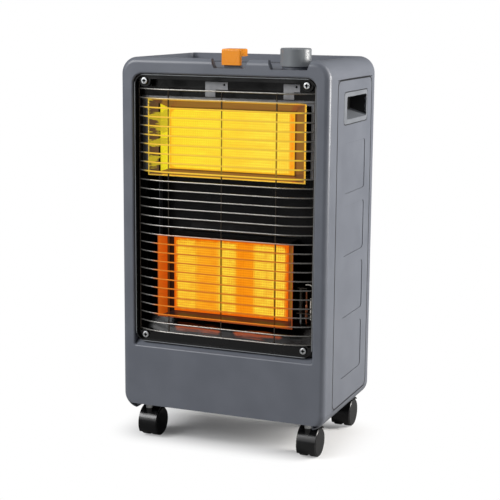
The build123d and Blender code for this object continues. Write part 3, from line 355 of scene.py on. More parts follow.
@dataclass(frozen=True)
class ReflectionPaintedEnamel(Enamel):
    """Enamel with the plaque above it painted on as a reflection: two broken orange streaks."""

    streaks_mm: tuple[tuple[float, float], ...] = ((-95.0, -14.0), (14.0, 96.0))    # across
    low_mm: float = 198.0
    high_mm: float = 205.0
    ripple_mm: float = 3.0      # how far the waviness moves the streaks' edges
    soft_mm: float = 4.0
    # colour of the painted reflection
    glow: str = "#8e3a0e"

    def shade(self, tree: NodeTree, place: Source) -> Inputs:
        """Add the enamel's nodes.

        Args:
            tree: Tree of the material.
            place: Object coordinates.

        Returns:
            What goes into the Principled node.
        """
        painted_reflection: Source | Colour = linear("#000000")
        ripple = add_node(tree, "MapRange", {
            "Value": stretched(tree, place, (45.0, 8.0, 3.0)), "From Min": 0.35, "From Max": 0.65,
            "To Min": -self.ripple_mm * MM, "To Max": self.ripple_mm * MM})
        # painted reflection: each streak glows in the plaque's orange
        for start, end in self.streaks_mm:
            box = Vector((start, 0, self.low_mm)) * MM, Vector((end, 0, self.high_mm)) * MM
            past = add_node(tree, "Math", {
                0: outside(tree, place, box, corner=self.soft_mm * MM), 1: ripple}, operation="ADD")
            inside = add_node(tree, "MapRange", {
                "Value": past, "From Min": -self.soft_mm * MM, "From Max": 3 * MM,
                "To Min": 1.0, "To Max": 0.0}, interpolation_type="SMOOTHSTEP")
            painted_reflection = towards(tree, painted_reflection, self.glow, inside)
        return super().shade(tree, place) | {"Emission Color": painted_reflection, "Emission Strength": 1.0}


@dataclass(frozen=True)
class BareMetal(Finish):
    """Bare or plated metal with fine drawing or brushing marks."""

    light: str = "#c9c8c5"
    dark: str = "#a9a8a4"
    roughness: float = 0.25
    grain_mm: tuple[float, float, float] = (0.8, 0.8, 0.8)
    bump: float = 0.1

    def shade(self, tree: NodeTree, place: Source) -> Inputs:
        """Add the metal's nodes.

        Args:
            tree: Tree of the material.
            place: Object coordinates.

        Returns:
            What goes into the Principled node.
        """
        grain = stretched(tree, place, self.grain_mm, 2.0)
        bump = add_node(tree, "Bump", {"Height": grain, "Strength": self.bump, "Distance": 0.2 * MM})
        haze = add_node(tree, "MapRange", {
            "Value": grain, "From Min": 0.3, "From Max": 0.7,
            "To Min": self.roughness * 0.8, "To Max": self.roughness * 1.3})
        return {"Base Color": gradient(tree, grain, ((0.35, self.dark), (0.65, self.light))),
                "Metallic": 1.0, "Roughness": haze, "Normal": bump}


@dataclass(frozen=True)
class LitWire(BareMetal):
    """Bright wire with the burners' light painted on it: near them it is darker and browner, and glows in
    their colour.
    """

    glow: tuple[tuple[str, str], ...] = ()      # CAD node of a burner, colour of the glow painted on the wire near it
    near_burner_metal: str = "#6e4a1c"                     # colour of the metal near the burners
    fade: float = 16 * MM

    def shade(self, tree: NodeTree, place: Source) -> Inputs:
        """Add the wire's nodes.

        Args:
            tree: Tree of the material.
            place: Object coordinates.

        Returns:
            What goes into the Principled node.
        """
        wire = super().shade(tree, place)
        metal, painted_glow = wire["Base Color"], linear("#000000")
        # painted light: near each burner the metal darkens and glows in the burner's colour
        for node, colour in self.glow:
            near = add_node(tree, "MapRange", {
                "Value": outside(tree, place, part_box(node)), "From Min": -self.fade / 2,
                "From Max": self.fade / 2, "To Min": 1.0, "To Max": 0.0}, interpolation_type="SMOOTHSTEP")
            metal = towards(tree, metal, self.near_burner_metal, near)
            painted_glow = towards(tree, painted_glow, colour, near)
        return wire | {"Base Color": metal, "Emission Color": painted_glow, "Emission Strength": 1.0}


@dataclass(frozen=True)
class HeatTint(Finish):
    """Stainless reflector that heat has tinted, with the plaque's reflection painted on its flared walls
    and the tint also emitted as a painted glow.
    """

    node: str
    left: Stops                 # from the rim to the plaque, on the wall at the left, with its painted reflection
    other: Stops                # and on the other three
    outer: str = "#17110d"
    tongues: str = "#cdbb30"
    tongue_mm: tuple[float, float, float] = (70.0, 25.0, 9.0)
    tongue_share: float = 0.0
    # strength of the painted glow: the tint is also emitted
    glow: float = 0.7
    roughness: float = 0.22

    def shade(self, tree: NodeTree, place: Source) -> Inputs:
        """Add the reflector's nodes.

        Args:
            tree: Tree of the material.
            place: Object coordinates.

        Returns:
            What goes into the Principled node.
        """
        low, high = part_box(self.node)
        facing = add_node(tree, "TexCoord").outputs["Normal"]
        share = add_node(tree, "MapRange", {
            "Value": add_node(tree, "SeparateXYZ", {"Vector": place}).outputs["Y"],
            "From Min": low.y, "From Max": high.y})
        noise = stretched(tree, place, self.tongue_mm)
        # painted reflection: tongues of flame reach from the plaque half way to the rim
        lick = add_node(tree, "MapRange", {
            "Value": noise, "From Min": 0.48, "From Max": 0.56, "To Max": self.tongue_share},
            interpolation_type="SMOOTHSTEP")
        left = towards(tree, gradient(tree, share, self.left), self.tongues, lick)
        # the wall at the left has its own stops, with the brighter painted reflection
        leftward = add_node(tree, "Math", {
            0: add_node(tree, "SeparateXYZ", {"Vector": facing}).outputs["X"], 1: 0.4},
            operation="GREATER_THAN")
        inside = add_node(tree, "Mix", {
            "Factor": leftward, 6: gradient(tree, share, self.other), 7: left}, data_type="RGBA")
        # painted shade: a face that looks away from the reflector's middle, its outside, is dark
        middle = add_node(tree, "VectorMath", {0: place, 1: (low + high) / 2}, operation="SUBTRACT")
        flat = add_node(tree, "VectorMath", {0: middle, 1: (1.0, 0.0, 1.0)}, operation="MULTIPLY")
        away = add_node(tree, "VectorMath", {0: flat, 1: facing}, operation="DOT_PRODUCT")
        dull = add_node(tree, "Math", {0: away, 1: 2 * MM}, operation="GREATER_THAN")
        tint = towards(tree, inside, self.outer, dull)
        bump = add_node(tree, "Bump", {"Height": noise, "Strength": 0.4, "Distance": 3 * MM})
        return {"Base Color": tint, "Metallic": 1.0, "Roughness": self.roughness, "Normal": bump,
                "Emission Color": tint, "Emission Strength": self.glow}


@dataclass(frozen=True)
class Galvanised(Finish):
    """Galvanised sheet with minimised spangle: flat grey zinc, faintly clouded."""

    light: str = "#9a9b9e"
    dark: str = "#848589"
    roughness: float = 0.42
    metallic: float = 0.7
    cloud_mm: float = 14.0

    def shade(self, tree: NodeTree, place: Source) -> Inputs:
        """Add the zinc's nodes.

        Args:
            tree: Tree of the material.
            place: Object coordinates.

        Returns:
            What goes into the Principled node.
        """
        cloud = stretched(tree, place, self.cloud_mm, 1.0)
        return {"Base Color": gradient(tree, cloud, ((0.3, self.dark), (0.7, self.light))),
                "Metallic": self.metallic, "Roughness": self.roughness}


@dataclass(frozen=True)
class Moulded(Finish):
    """Injection-moulded plastic with a fine spark-eroded grain."""

    dark: str = "#151617"
    light: str = "#1b1c1e"
    roughness: float = 0.35
    grain_mm: float = 0.9       # real grain is near 0.1 mm; drawn coarser so that it shows
    flow_mm: float = 1000 / 30  # patches of tone left by the flow of the melt
    bump: float = 0.1

    def shade(self, tree: NodeTree, place: Source) -> Inputs:
        """Add the plastic's nodes.

        Args:
            tree: Tree of the material.
            place: Object coordinates.

        Returns:
            What goes into the Principled node.
        """
        flow = stretched(tree, place, self.flow_mm, 1.0)
        bump = add_node(tree, "Bump", {
            "Height": stretched(tree, place, self.grain_mm, 2.0), "Strength": self.bump,
            "Distance": 0.2 * MM})
        haze = add_node(tree, "MapRange", {
            "Value": flow, "To Min": self.roughness - 0.05, "To Max": self.roughness + 0.05})
        return {"Base Color": gradient(tree, flow, ((0.35, self.dark), (0.65, self.light))),
                "Roughness": haze, "Normal": bump, "IOR": 1.5}


@dataclass(frozen=True)
class GlowingCeramic(Finish):
    """Perforated cordierite plaque at red heat: hottest between its holes, cooler at its border."""

    node: str
    bands: Stops                # across the plaque's width
    cool: str
    hole: str
    edge: str
    edge_w: float
    base: str = "#3a2412"
    hole_depth: float = 1.2 * MM
    streak_mm: tuple[float, float, float] = (60.0, 30.0, 9.0)
    grain_mm: float = 3.2
    border_mm: float = 6.0      # patches that make the border ragged
    cooling: float = 0.5
    sparkle: float = 0.3

    def shade(self, tree: NodeTree, place: Source) -> Inputs:
        """Add the plaque's nodes.

        Args:
            tree: Tree of the material.
            place: Object coordinates.

        Returns:
            What goes into the Principled node.
        """
        low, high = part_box(self.node)
        axes = add_node(tree, "SeparateXYZ", {"Vector": place})
        across = add_node(tree, "MapRange", {
            "Value": axes.outputs["X"], "From Min": low.x, "From Max": high.x})
        glow = gradient(tree, across, self.bands)
        # gas doesn't feed every hole alike: streaks of cooler ceramic, and grains between the holes
        for size, span, most in ((self.streak_mm, (0.45, 0.75), self.cooling),
                                 (self.grain_mm, (0.45, 0.6), self.sparkle)):
            cooler = add_node(tree, "MapRange", {
                "Value": stretched(tree, place, size), "From Min": span[0], "From Max": span[1],
                "To Min": 0.0, "To Max": most})
            glow = towards(tree, glow, self.cool, cooler)
        # the border loses heat to the burner box
        ragged = add_node(tree, "Math", {
            0: stretched(tree, place, self.border_mm), 1: 1.2 * self.edge_w}, operation="MULTIPLY")
        inside = add_node(tree, "Math", {0: outside(tree, place, (low, high)), 1: ragged}, operation="ADD")
        rim = add_node(tree, "MapRange", {
            "Value": inside, "From Min": -0.6 * self.edge_w, "From Max": 0.4 * self.edge_w},
            interpolation_type="SMOOTHSTEP")
        glow = towards(tree, glow, self.edge, rim)
        # the floor of each hole is cooler than the face
        depth = add_node(tree, "MapRange", {
            "Value": axes.outputs["Y"], "From Min": low.y + 0.1 * self.hole_depth,
            "From Max": low.y + 0.9 * self.hole_depth, "To Max": 0.85})
        glow = towards(tree, glow, self.hole, depth)
        # little of the studio's light comes back from a face that glows itself
        return {"Base Color": linear(self.base), "Roughness": 1.0, "Specular IOR Level": 0.0,
                "Emission Color": glow, "Emission Strength": 1.0}


class Slot(Enum):
    """Material slots of the record."""

    CASE = "painted_case"
    HANDLE = "handle_plastic"
    ZINC = "galvanised_sheet"
    BOX = "aluminised_sheet"
    ENAMEL = "black_enamel"
    WIRE = "bright_wire"
    SCREW = "zinc_screw"
    REFLECTOR = "polished_reflector"
    CERAMIC = "glowing_ceramic"
    ALUMINA = "white_ceramic"
    BRASS = "brass"
    CASTING = "cast_aluminium"
    TUBE = "aluminium_tube"
    COPPER = "copper_tube"
    PILOT = "pilot_steel"
    LEAD = "lead_rubber"
    IGNITER = "black_plastic"
    KEY = "orange_plastic"
    KNOB = "knob_plastic"
    CASTOR = "castor_plastic"
    PIN = "castor_steel"


FINISHES: dict[Slot, Finish] = {
    # powder coat on pressed steel: slate grey, satin, faintly pebbled
    Slot.CASE: PowderCoat("polyester_powder_coat_slate"),
    # ABS cup, moulded in the case's grey
    Slot.HANDLE: Moulded("abs_slate_grey", "#6f7379", "#777b81", 0.45),
    # zinc with small spangle: flat pale grey, faintly clouded
    Slot.ZINC: Galvanised("galvanised_sheet_spangled"),
    # aluminised steel: dull, with faint rolling lines along X
    Slot.BOX: BareMetal("aluminised_steel_rolled", "#a5a6a5", "#8c8d8c", 0.4, (12.0, 0.6, 0.6)),
    # glass fired on sheet steel: black, with a deep and slightly wavy gloss
    Slot.ENAMEL: Enamel("vitreous_enamel_black"),
    # nickel plate over drawn wire: bright, with faint drawing lines and the burners' glow painted on it
    Slot.WIRE: LitWire("nickel_plated_wire", "#aeaca8", "#8e8b86", 0.34, (6.0, 0.5, 0.5),
                       glow=(("upper_reflector", "#d8b43c"), ("lower_reflector", "#b45c18"))),
    # clear zinc plate: near white and softly bright
    Slot.SCREW: BareMetal("zinc_plated_screw", "#f2f4f5", "#d6d8da", 0.42),
    # stainless sheet that heat has turned straw yellow, with the plaque's reflection painted in it
    Slot.REFLECTOR: HeatTint(
        "stainless_reflector_straw", "upper_reflector",
        left=((0.0, "#b0a03c"), (0.05, "#5c4630"), (0.46, "#6a5034"), (0.48, "#0c0a08"),
              (0.54, "#0c0a08"), (0.58, "#f0e02c"), (1.0, "#fff034")),
        other=((0.0, "#d8b044"), (0.08, "#c0903a"), (0.13, "#6a4a30"), (0.75, "#684630"),
               (1.0, "#20140c")), tongue_share=0.85),
    # cordierite at full heat: bright yellow, and orange along its right end
    Slot.CERAMIC: GlowingCeramic(
        "cordierite_plaque_upper", "upper_plaque",
        ((0.0, "#ffd028"), (0.04, "#ffe830"), (0.3, "#fff03c"), (0.55, "#ffe23c"), (0.8, "#ffee4c"),
         (0.955, "#ffe048"), (0.965, "#ff9a20"), (1.0, "#ff7c12")),
        cool="#f8c030", hole="#e8aa28", edge="#f8b020", edge_w=3.0 * MM),
    # glazed alumina: off-white and glossy
    Slot.ALUMINA: Moulded("alumina_glazed", "#e6e3da", "#dcd8cd", 0.2, bump=0.03),
    # turned brass: warm yellow, finely marked
    Slot.BRASS: BareMetal("brass_turned", "#c8a45a", "#a98642", 0.25, (0.4, 0.4, 0.4)),
    # die-cast aluminium: mid grey, dull and a little grainy
    Slot.CASTING: BareMetal("aluminium_die_cast", "#a9abad", "#8f9193", 0.45, (1.2, 1.2, 1.2), 0.35),
    # drawn aluminium: pale and silky
    Slot.TUBE: BareMetal("aluminium_tube_drawn", "#c3c5c7", "#a8aaac", 0.3),
    # drawn copper: salmon pink and silky
    Slot.COPPER: BareMetal("copper_tube_drawn", "#c98262", "#a9664a", 0.3),
    # stainless steel, dark brown-grey, with some shine left
    Slot.PILOT: BareMetal("stainless_pilot_burner_dark", "#6c6862", "#4a4640", 0.3),
    # silicone rubber: black, with a soft sheen
    Slot.LEAD: Moulded("silicone_lead_black", "#101010", "#161616", 0.5),
    # moulded PBT: black, with a fine even grain
    Slot.IGNITER: Moulded("pbt_black", "#121212", "#19191a", 0.4),
    # gloss ABS: orange, with clear highlights
    Slot.KEY: Moulded("abs_orange_gloss", "#ff9c14", "#fa9410", 0.28, bump=0.04),
    # moulded ABS: mid grey, satin
    Slot.KNOB: Moulded("abs_mid_grey", "#7d8185", "#767a7e", 0.36),
    # moulded polyamide: black, with clear highlights
    Slot.CASTOR: Moulded("polyamide_black", "#0a0a0b", "#101112", 0.24),
    # bright zinc plate on steel: cool and shiny
    Slot.PIN: BareMetal("zinc_plated_steel", "#c6c8c9", "#a6a8a9", 0.22),
}
# the lower burner runs on less gas: redder, and uneven from tile to tile
LOWER_CERAMIC = GlowingCeramic(
    "cordierite_plaque_lower", "lower_plaque",
    ((0.0, "#f08018"), (0.03, "#ffd83c"), (0.17, "#ffd63a"), (0.22, "#ffb424"), (0.37, "#ffb020"),
     (0.41, "#ffe444"), (0.53, "#ffe040"), (0.56, "#ff9c10"), (0.69, "#ffa012"), (0.72, "#ffe040"),
     (0.96, "#ffe248"), (1.0, "#f08018")),
    cool="#ee7e10", hole="#c86008", edge="#e86408", edge_w=7.0 * MM, streak_mm=(14.0, 14.0, 14.0),
    cooling=0.4)
# and its reflector has gone the colour of copper, with the plaque's reflection painted in it and dark
# elsewhere
LOWER_TINT = HeatTint(
    "stainless_reflector_copper", "lower_reflector",
    ((0.0, "#cc6418"), (0.55, "#b84c0c"), (0.6, "#160c0a"), (1.0, "#2c1814")),
    ((0.0, "#8c4426"), (0.04, "#743a20"), (0.08, "#2a1a16"), (0.85, "#36221e"), (1.0, "#1a0e0a")),
    roughness=0.3)
# painted shade: the uprights get a darker copy of the wire's finish, as they stand behind the level wires
# where the front light hardly gets; the plaques' glow is painted on them too
UPRIGHTS = LitWire("nickel_plated_upright", "#6a625a", "#544c44", 0.3, (0.5, 0.5, 6.0), near_burner_metal="#4a3418",
                   glow=(("upper_plaque", "#8a6c26"), ("lower_plaque", "#48220a")))
# the guard frame's enamel has a painted highlight, a pale band along its rolled rim
FRAME_ENAMEL = Enamel("vitreous_enamel_rolled_rim", rim_of="guard_frame", specular=0.5)
# the tray's enamel is duller, with the lower plaque's reflection painted on it in orange
TRAY_ENAMEL = ReflectionPaintedEnamel("vitreous_enamel_tray", roughness=0.22, specular=0.25)
# the lower burner box's sheet: near black and dull
DARK_SHEET = BareMetal("aluminised_steel_dark", "#23201e", "#151413", 0.55)
# black zinc plate: near black, with a metal's shine
WASHER = BareMetal("black_zinc_washer", "#1c1c1d", "#121213", 0.3)
# painted shade: black and satin, for the walls inside the handle cups, darker than the case round them
CUP_SHADE = Moulded("abs_painted_shade_black", "#0c0c0d", "#121213", 0.4)


# ---- modelling helpers
def take(obj: Object) -> None:
    """Select an object alone and make it the active one.

    Args:
        obj: The object.
    """
    bpy.ops.object.select_all(action="DESELECT")
    obj.select_set(True)
    bpy.context.view_layer.objects.active = obj


def edit(obj: Object) -> None:
    """Open an object alone in edit mode, with nothing in it selected.

    Args:
        obj: The object.
    """
    take(obj)
    bpy.ops.object.mode_set(mode="EDIT")
    bpy.ops.mesh.select_all(action="DESELECT")


def close() -> None:
    """Leave edit mode."""
    bpy.ops.object.mode_set(mode="OBJECT")


def pick(obj: Object, test: Callable[[Vector], bool], kind: str = "VERT") -> None:
    """Select the vertices or faces of an object in edit mode by their place.

    Args:
        obj: Object in edit mode.
        test: Given a place in world space, says whether to select it.
        kind: "VERT" or "FACE".
    """
    bpy.ops.mesh.select_mode(type=kind)
    bpy.ops.mesh.select_all(action="DESELECT")
    mesh = bmesh.from_edit_mesh(obj.data)
    for item in (mesh.verts if kind == "VERT" else mesh.faces):
        place = item.co if kind == "VERT" else item.calc_center_median()
        if test(obj.matrix_world @ place):
            item.select_set(True)
    mesh.select_flush_mode()
    bmesh.update_edit_mesh(obj.data)


def settle(obj: Object) -> None:
    """Put an object at the origin, with its place in its mesh."""
    take(obj)
    bpy.ops.object.transform_apply(location=True, rotation=True, scale=True)


def apply(obj: Object, kind: str, **settings: object) -> None:
    """Add a modifier to an object and apply it.

    Args:
        obj: Object that gets it.
        kind: The modifier's type name.
        **settings: The modifier's own settings.
    """
    take(obj)
    modifier = obj.modifiers.new(kind.lower(), kind)
    for key, value in settings.items():
        setattr(modifier, key, value)
    bpy.ops.object.modifier_apply(modifier=modifier.name)


def joined(objects: Sequence[Object]) -> Object:
    """Join objects into the first of them.

    Args:
        objects: Mesh objects.

    Returns:
        The joined object, at the origin.
    """
    for obj in objects:
        settle(obj)
    for obj in objects:
        obj.select_set(True)
    bpy.context.view_layer.objects.active = objects[0]
    if len(objects) > 1:
        bpy.ops.object.join()
    return bpy.context.view_layer.objects.active


def copied(obj: Object, offset: Vector) -> Object:
    """Copy an object with its own mesh and move the copy.

    Args:
        obj: Object to copy.
        offset: Where the copy's origin goes, from the object's.

    Returns:
        The copy.
    """
    twin = obj.copy()
    twin.data = obj.data.copy()
    bpy.context.collection.objects.link(twin)
    twin.location = obj.location + offset
    return twin


# ---- the workshop
class Workshop:
    """Keeps the finishes and dresses every piece."""

    def __init__(self, frame: dict) -> None:
        """Build the finishes and dress the CAD nodes with them.
        """
        self.frame = frame
        self.finish = {slot: finish.build() for slot, finish in FINISHES.items()}
        self.slot_of = {row["node"]: Slot(row["material_slot"]) for row in frame["record"]["subparts"]}
        for node, obj in frame["nodes"].items():
            self.dress(obj, self.finish[self.slot_of[node]])

    def dress(self, obj: Object, material: Material) -> None:
        """Give an object one material all over.

        Args:
            obj: The object.
            material: Its material.
        """
        if not obj.material_slots:
            obj.data.materials.append(material)
        for place in obj.material_slots:
            place.material = material

    def hand_over(self, obj: Object, name: str, slot: Slot, body: str,
                  replaces: Iterable[str] = (), smooth_deg: float = 35.0,
                  finish: Material | None = None) -> None:
        """Finish a new piece.

        Args:
            obj: The modelled object.
            name: Its name.
            slot: Material slot that it takes its finish from.
            body: CAD body that it moves with.
            replaces: CAD nodes that it stands for.
            smooth_deg: Edges flatter than this are shaded smooth.
            finish: Its own shade of the slot's finish, where it has one.
        """
        settle(obj)
        obj.name = obj.data.name = name
        obj.data.materials.clear()
        obj.data.materials.append(finish or self.finish[slot])
        bpy.ops.object.shade_smooth_by_angle(angle=math.radians(smooth_deg))
        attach(obj, body)
        for node in replaces:
            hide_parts(node)
        LOG.info("%s: %d faces on %s", name, len(obj.data.polygons), body)


# ---- pieces
@dataclass
class GuardGrille:
    """Welded guard of round wires: a straight middle, ends curved back to two end rods."""

    shop: Workshop
    wire_d: float = 2.5 * MM
    pitch: float = 15.15 * MM
    flat: float = 97.0 * MM
    inset: float = 21.0 * MM
    end: float = 155.2 * MM
    upright_x: float = 95.5 * MM
    rod_inset: float = 12.5 * MM
    set_back: float = 1.4 * MM      # wire axis from the front and back of the CAD guard's box
    sides: int = 8
    bend_steps: int = 7
    end_ease: float = 0.35          # of the uprights' ends, as a share of their radius
    upright_finish: Material | None = None

    def build(self) -> None:
        """Make the grille in place of the plain CAD one."""
        low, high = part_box("guard_wires")
        radius = self.wire_d / 2
        front, rod_y = low.y + self.set_back, high.y - self.set_back
        reach, back = self.end - self.flat, rod_y - front
        bend = (reach ** 2 + back ** 2) / (2 * back)
        swing = math.acos(1 - back / bend)
        frame_low, frame_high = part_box("guard_frame")
        first = frame_low.z + self.inset
        count = int((frame_high.z - self.inset - first) / self.pitch) + 1
        wire = self.level_wire(radius, front, bend, swing)
        levels = [copied(wire, Vector((0, 0, first + i * self.pitch))) for i in range(count)]
        bpy.data.objects.remove(wire)
        low_z, high_z = first - radius, first + (count - 1) * self.pitch + radius
        uprights = [self.upright(x, front + 2 * radius, low_z, high_z, radius)
                    for x in (-self.upright_x, 0.0, self.upright_x)]
        uprights += [self.upright(x, rod_y, frame_low.z + self.rod_inset, frame_high.z - self.rod_inset,
                                  radius) for x in (-self.end, self.end)]
        for parts, name, finish in ((levels, "guard_level_wires", None),
                                    (uprights, "guard_uprights", self.upright_finish)):
            self.shop.hand_over(joined(parts), name, Slot.WIRE, CABINET, ["guard_wires"], TUBE_DEG, finish)

    def level_wire(self, radius: float, front: float, bend: float, swing: float) -> Object:
        """Model one level wire by spinning and extruding its round section.

        Args:
            radius: Wire radius.
            front: Y of the straight middle's axis.
            bend: Radius of the curved ends.
            swing: Angle of the curved ends.

        Returns:
            The wire, at height 0.
        """
        bpy.ops.mesh.primitive_circle_add(vertices=self.sides, radius=radius, fill_type="NGON",
                                          location=(self.flat, front, 0),
                                          rotation=(0, math.pi / 2, 0))
        wire = bpy.context.object
        settle(wire)
        edit(wire)
        bpy.ops.mesh.select_all(action="SELECT")
        bpy.ops.mesh.spin(steps=self.bend_steps, angle=-swing, center=(self.flat, front + bend, 0),
                          axis=(0, 0, 1), use_auto_merge=False)
        pick(wire, lambda p: abs(p.x - self.flat) < NEAR and abs(p.y - front) < radius * 1.1)
        bpy.ops.mesh.select_mode(type="FACE")
        bpy.ops.mesh.extrude_region_move(TRANSFORM_OT_translate={"value": (-self.flat, 0, 0)})
        close()
        # the other half is its mirror image
        apply(wire, "MIRROR", use_axis=(True, False, False), merge_threshold=NEAR)
        edit(wire)
        # the wall between the halves, inside the wire
        pick(wire, lambda p: abs(p.x) < NEAR, "FACE")
        bpy.ops.mesh.delete(type="ONLY_FACE")
        bpy.ops.mesh.select_all(action="SELECT")
        bpy.ops.mesh.normals_make_consistent(inside=False)
        close()
        return wire

    def upright(self, x: float, y: float, low: float, high: float, radius: float) -> Object:
        """Model one upright rod with eased ends.

        Args:
            x: Place of the axis.
            y: Place of the axis.
            low: Lower end.
            high: Upper end.
            radius: Rod radius.

        Returns:
            The rod.
        """
        bpy.ops.mesh.primitive_cylinder_add(vertices=self.sides, radius=radius, depth=high - low,
                                            location=(x, y, (low + high) / 2))
        rod = bpy.context.object
        edit(rod)
        pick(rod, lambda p: p.z > high - NEAR or p.z < low + NEAR, "FACE")
        bpy.ops.mesh.inset(thickness=radius * self.end_ease, depth=0.0)
        close()
        return rod


@dataclass
class Plaque:
    """Ceramic plaque pressed in tiles, with a grid of burner holes in its face."""

    shop: Workshop
    node: str
    name: str
    tiles: int
    holes_across: int           # in each tile; real holes are 1.3 mm, drawn coarser so that they show
    holes_up: int
    groove: float = 0.8 * MM
    web: float = 0.24           # rim left round each hole, as a share of its cell
    taper: float = 0.05         # and how much the hole narrows
    hole_depth: float = 1.2 * MM
    smooth_deg: float = 30.0
    finish: Material | None = None

    def build(self) -> None:
        """Make the plaque in place of the plain CAD one."""
        low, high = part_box(self.node)
        width = (high.x - low.x - (self.tiles - 1) * self.groove) / self.tiles
        first = self.tile(width, low, high)
        tiles = [first] + [copied(first, Vector((i * (width + self.groove), 0, 0)))
                           for i in range(1, self.tiles)]
        self.shop.hand_over(joined(tiles), self.name, Slot.CERAMIC, CABINET, [self.node],
                            self.smooth_deg, self.finish)

    def tile(self, width: float, low: Vector, high: Vector) -> Object:
        """Model one tile from a grid: its holes by insets, its body by an extrusion.

        Args:
            width: Width of the tile.
            low: The plaque's lowest corner, where the first tile starts.
            high: The plaque's highest corner.

        Returns:
            The tile.
        """
        height, depth = high.z - low.z, high.y - low.y
        bpy.ops.mesh.primitive_grid_add(
            x_subdivisions=self.holes_across, y_subdivisions=self.holes_up, size=1.0,
            location=(low.x + width / 2, low.y, (low.z + high.z) / 2), rotation=(math.pi / 2, 0, 0))
        tile = bpy.context.object
        tile.scale = (width, height, 1)
        settle(tile)
        cell = min(width / self.holes_across, height / self.holes_up)
        edit(tile)
        bpy.ops.mesh.select_mode(type="FACE")
        bpy.ops.mesh.select_all(action="SELECT")
        bpy.ops.mesh.inset(thickness=cell * self.web, use_individual=True)
        bpy.ops.mesh.inset(thickness=cell * self.taper, depth=-self.hole_depth, use_individual=True)
        bpy.ops.mesh.select_all(action="DESELECT")
        bpy.ops.mesh.select_mode(type="EDGE")
        bpy.ops.mesh.select_non_manifold()
        bpy.ops.mesh.extrude_region_move(TRANSFORM_OT_translate={"value": (0, depth, 0)})
        bpy.ops.mesh.edge_face_add()
        bpy.ops.mesh.select_all(action="SELECT")
        bpy.ops.mesh.normals_make_consistent(inside=False)
        close()
        return tile


@dataclass
class GuardScrews:
    """Pan-head screws with a cross recess, each on a plain washer, at the guard's four ears."""

    shop: Workshop
    washer_finish: Material
    head_d: float = 11.0 * MM
    head_h: float = 2.6 * MM
    washer_d: float = 12.0 * MM
    washer_t: float = 1.2 * MM
    slot_w: float = 2.5 * MM        # a real recess is near 1.3 mm; drawn wider so that it shows
    slot_l: float = 7.0 * MM
    slot_depth: float = 3.0 * MM    # right through, down to the black washer
    head_ease: float = 1.1 * MM
    washer_ease: float = 0.35 * MM
    sunk: float = 0.4 * MM          # how far the head reaches into the washer
    sides: int = 32
    smooth_deg: float = 40.0

    def build(self) -> None:
        """Make the four screws in place of the plain CAD ones."""
        low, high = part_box("guard_screws")
        edge = self.washer_d / 2
        places = [Vector((x, low.y, z)) for x in (low.x + edge, high.x - edge)
                  for z in (low.z + edge, high.z - edge)]
        washer = self.disc(self.washer_d, self.head_h - self.sunk, self.washer_t, self.washer_ease)
        for part, name, finish in ((self.head(), "guard_screw_heads", None),
                                   (washer, "guard_washers", self.washer_finish)):
            copies = [copied(part, place) for place in places]
            bpy.data.objects.remove(part)
            self.shop.hand_over(joined(copies), name, Slot.SCREW, CABINET, ["guard_screws"],
                                self.smooth_deg, finish)

    def disc(self, diameter: float, front: float, thick: float, ease: float) -> Object:
        """Model a disc across Y with its front rim eased.

        Args:
            diameter: Its diameter.
            front: Y of its front face.
            thick: Its thickness.
            ease: Width of the eased rim.

        Returns:
            The disc.
        """
        bpy.ops.mesh.primitive_cylinder_add(vertices=self.sides, radius=diameter / 2, depth=thick,
                                            location=(0, front + thick / 2, 0),
                                            rotation=(math.pi / 2, 0, 0))
        disc = bpy.context.object
        settle(disc)
        edit(disc)
        pick(disc, lambda p: p.y < front + NEAR, "FACE")
        bpy.ops.mesh.bevel(offset=ease, segments=4, profile=0.5)
        close()
        return disc

    def head(self) -> Object:
        """Model one head and cut its recess.

        Returns:
            The head, with its front at the origin.
        """
        head = self.disc(self.head_d, 0.0, self.head_h, self.head_ease)
        for across, up in ((self.slot_l, self.slot_w), (self.slot_w, self.slot_l)):
            bpy.ops.mesh.primitive_cube_add(size=1.0)
            cutter = bpy.context.object
            cutter.scale = (across, 2 * self.slot_depth, up)
            settle(cutter)
            apply(head, "BOOLEAN", object=cutter, operation="DIFFERENCE", solver="EXACT")
            bpy.data.objects.remove(cutter)
        return head


@dataclass
class SmoothSkins:
    """Merged, smooth-shaded skins over the CAD pieces whose round forms show."""

    shop: Workshop
    nodes: Sequence[str]
    finishes: dict[str, Material]
    merge: float = 2e-6             # loose corners closer than this are one

    def build(self) -> None:
        """Make every skin."""
        for node in self.nodes:
            skin = self.skin(node)
            self.shop.hand_over(skin, f"{node}_skin", self.shop.slot_of[node],
                                self.shop.frame["nodes"][node]["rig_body"], [node],
                                TUBE_DEG if node in TUBES else ROUND_DEG, self.finishes.get(node))
            # broad faces keep their own direction, and round ones are shaded between them
            apply(skin, "WEIGHTED_NORMAL", keep_sharp=True, weight=100)

    def skin(self, node: str) -> Object:
        """Copy a CAD node's mesh and merge its loose triangles.

        Args:
            node: Name of the node.

        Returns:
            The merged copy.
        """
        skin = bpy.data.objects.new(node, self.shop.frame["nodes"][node].data.copy())
        bpy.context.collection.objects.link(skin)
        edit(skin)
        bpy.ops.mesh.select_all(action="SELECT")
        bpy.ops.mesh.remove_doubles(threshold=self.merge)
        bpy.ops.mesh.customdata_custom_splitnormals_clear()
        close()
        return skin


@dataclass
class HandleCupShade:
    """Painted shade inside the two handle cups: their walls get a near-black finish, while their floors,
    which look up, stay in the case's grey.
    """

    shop: Workshop
    inside: Material
    rim: float = 2.5 * MM       # grey edge of the cup's mouth
    floor: float = 0.3          # a face that looks up more than this is the cup's floor

    def build(self) -> None:
        """Give the inner walls of both skins the painted shade."""
        for side in ("right", "left"):
            skin = bpy.data.objects[f"handle_cup_{side}_skin"]
            low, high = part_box(f"handle_cup_{side}")
            mouth = max(abs(low.x), abs(high.x))
            skin.data.materials.append(self.inside)
            # painted shade: an inner face that doesn't look up gets the near-black finish
            for face in skin.data.polygons:
                if abs(face.center.x) < mouth - self.rim and face.normal.z < self.floor:
                    face.material_index = 1


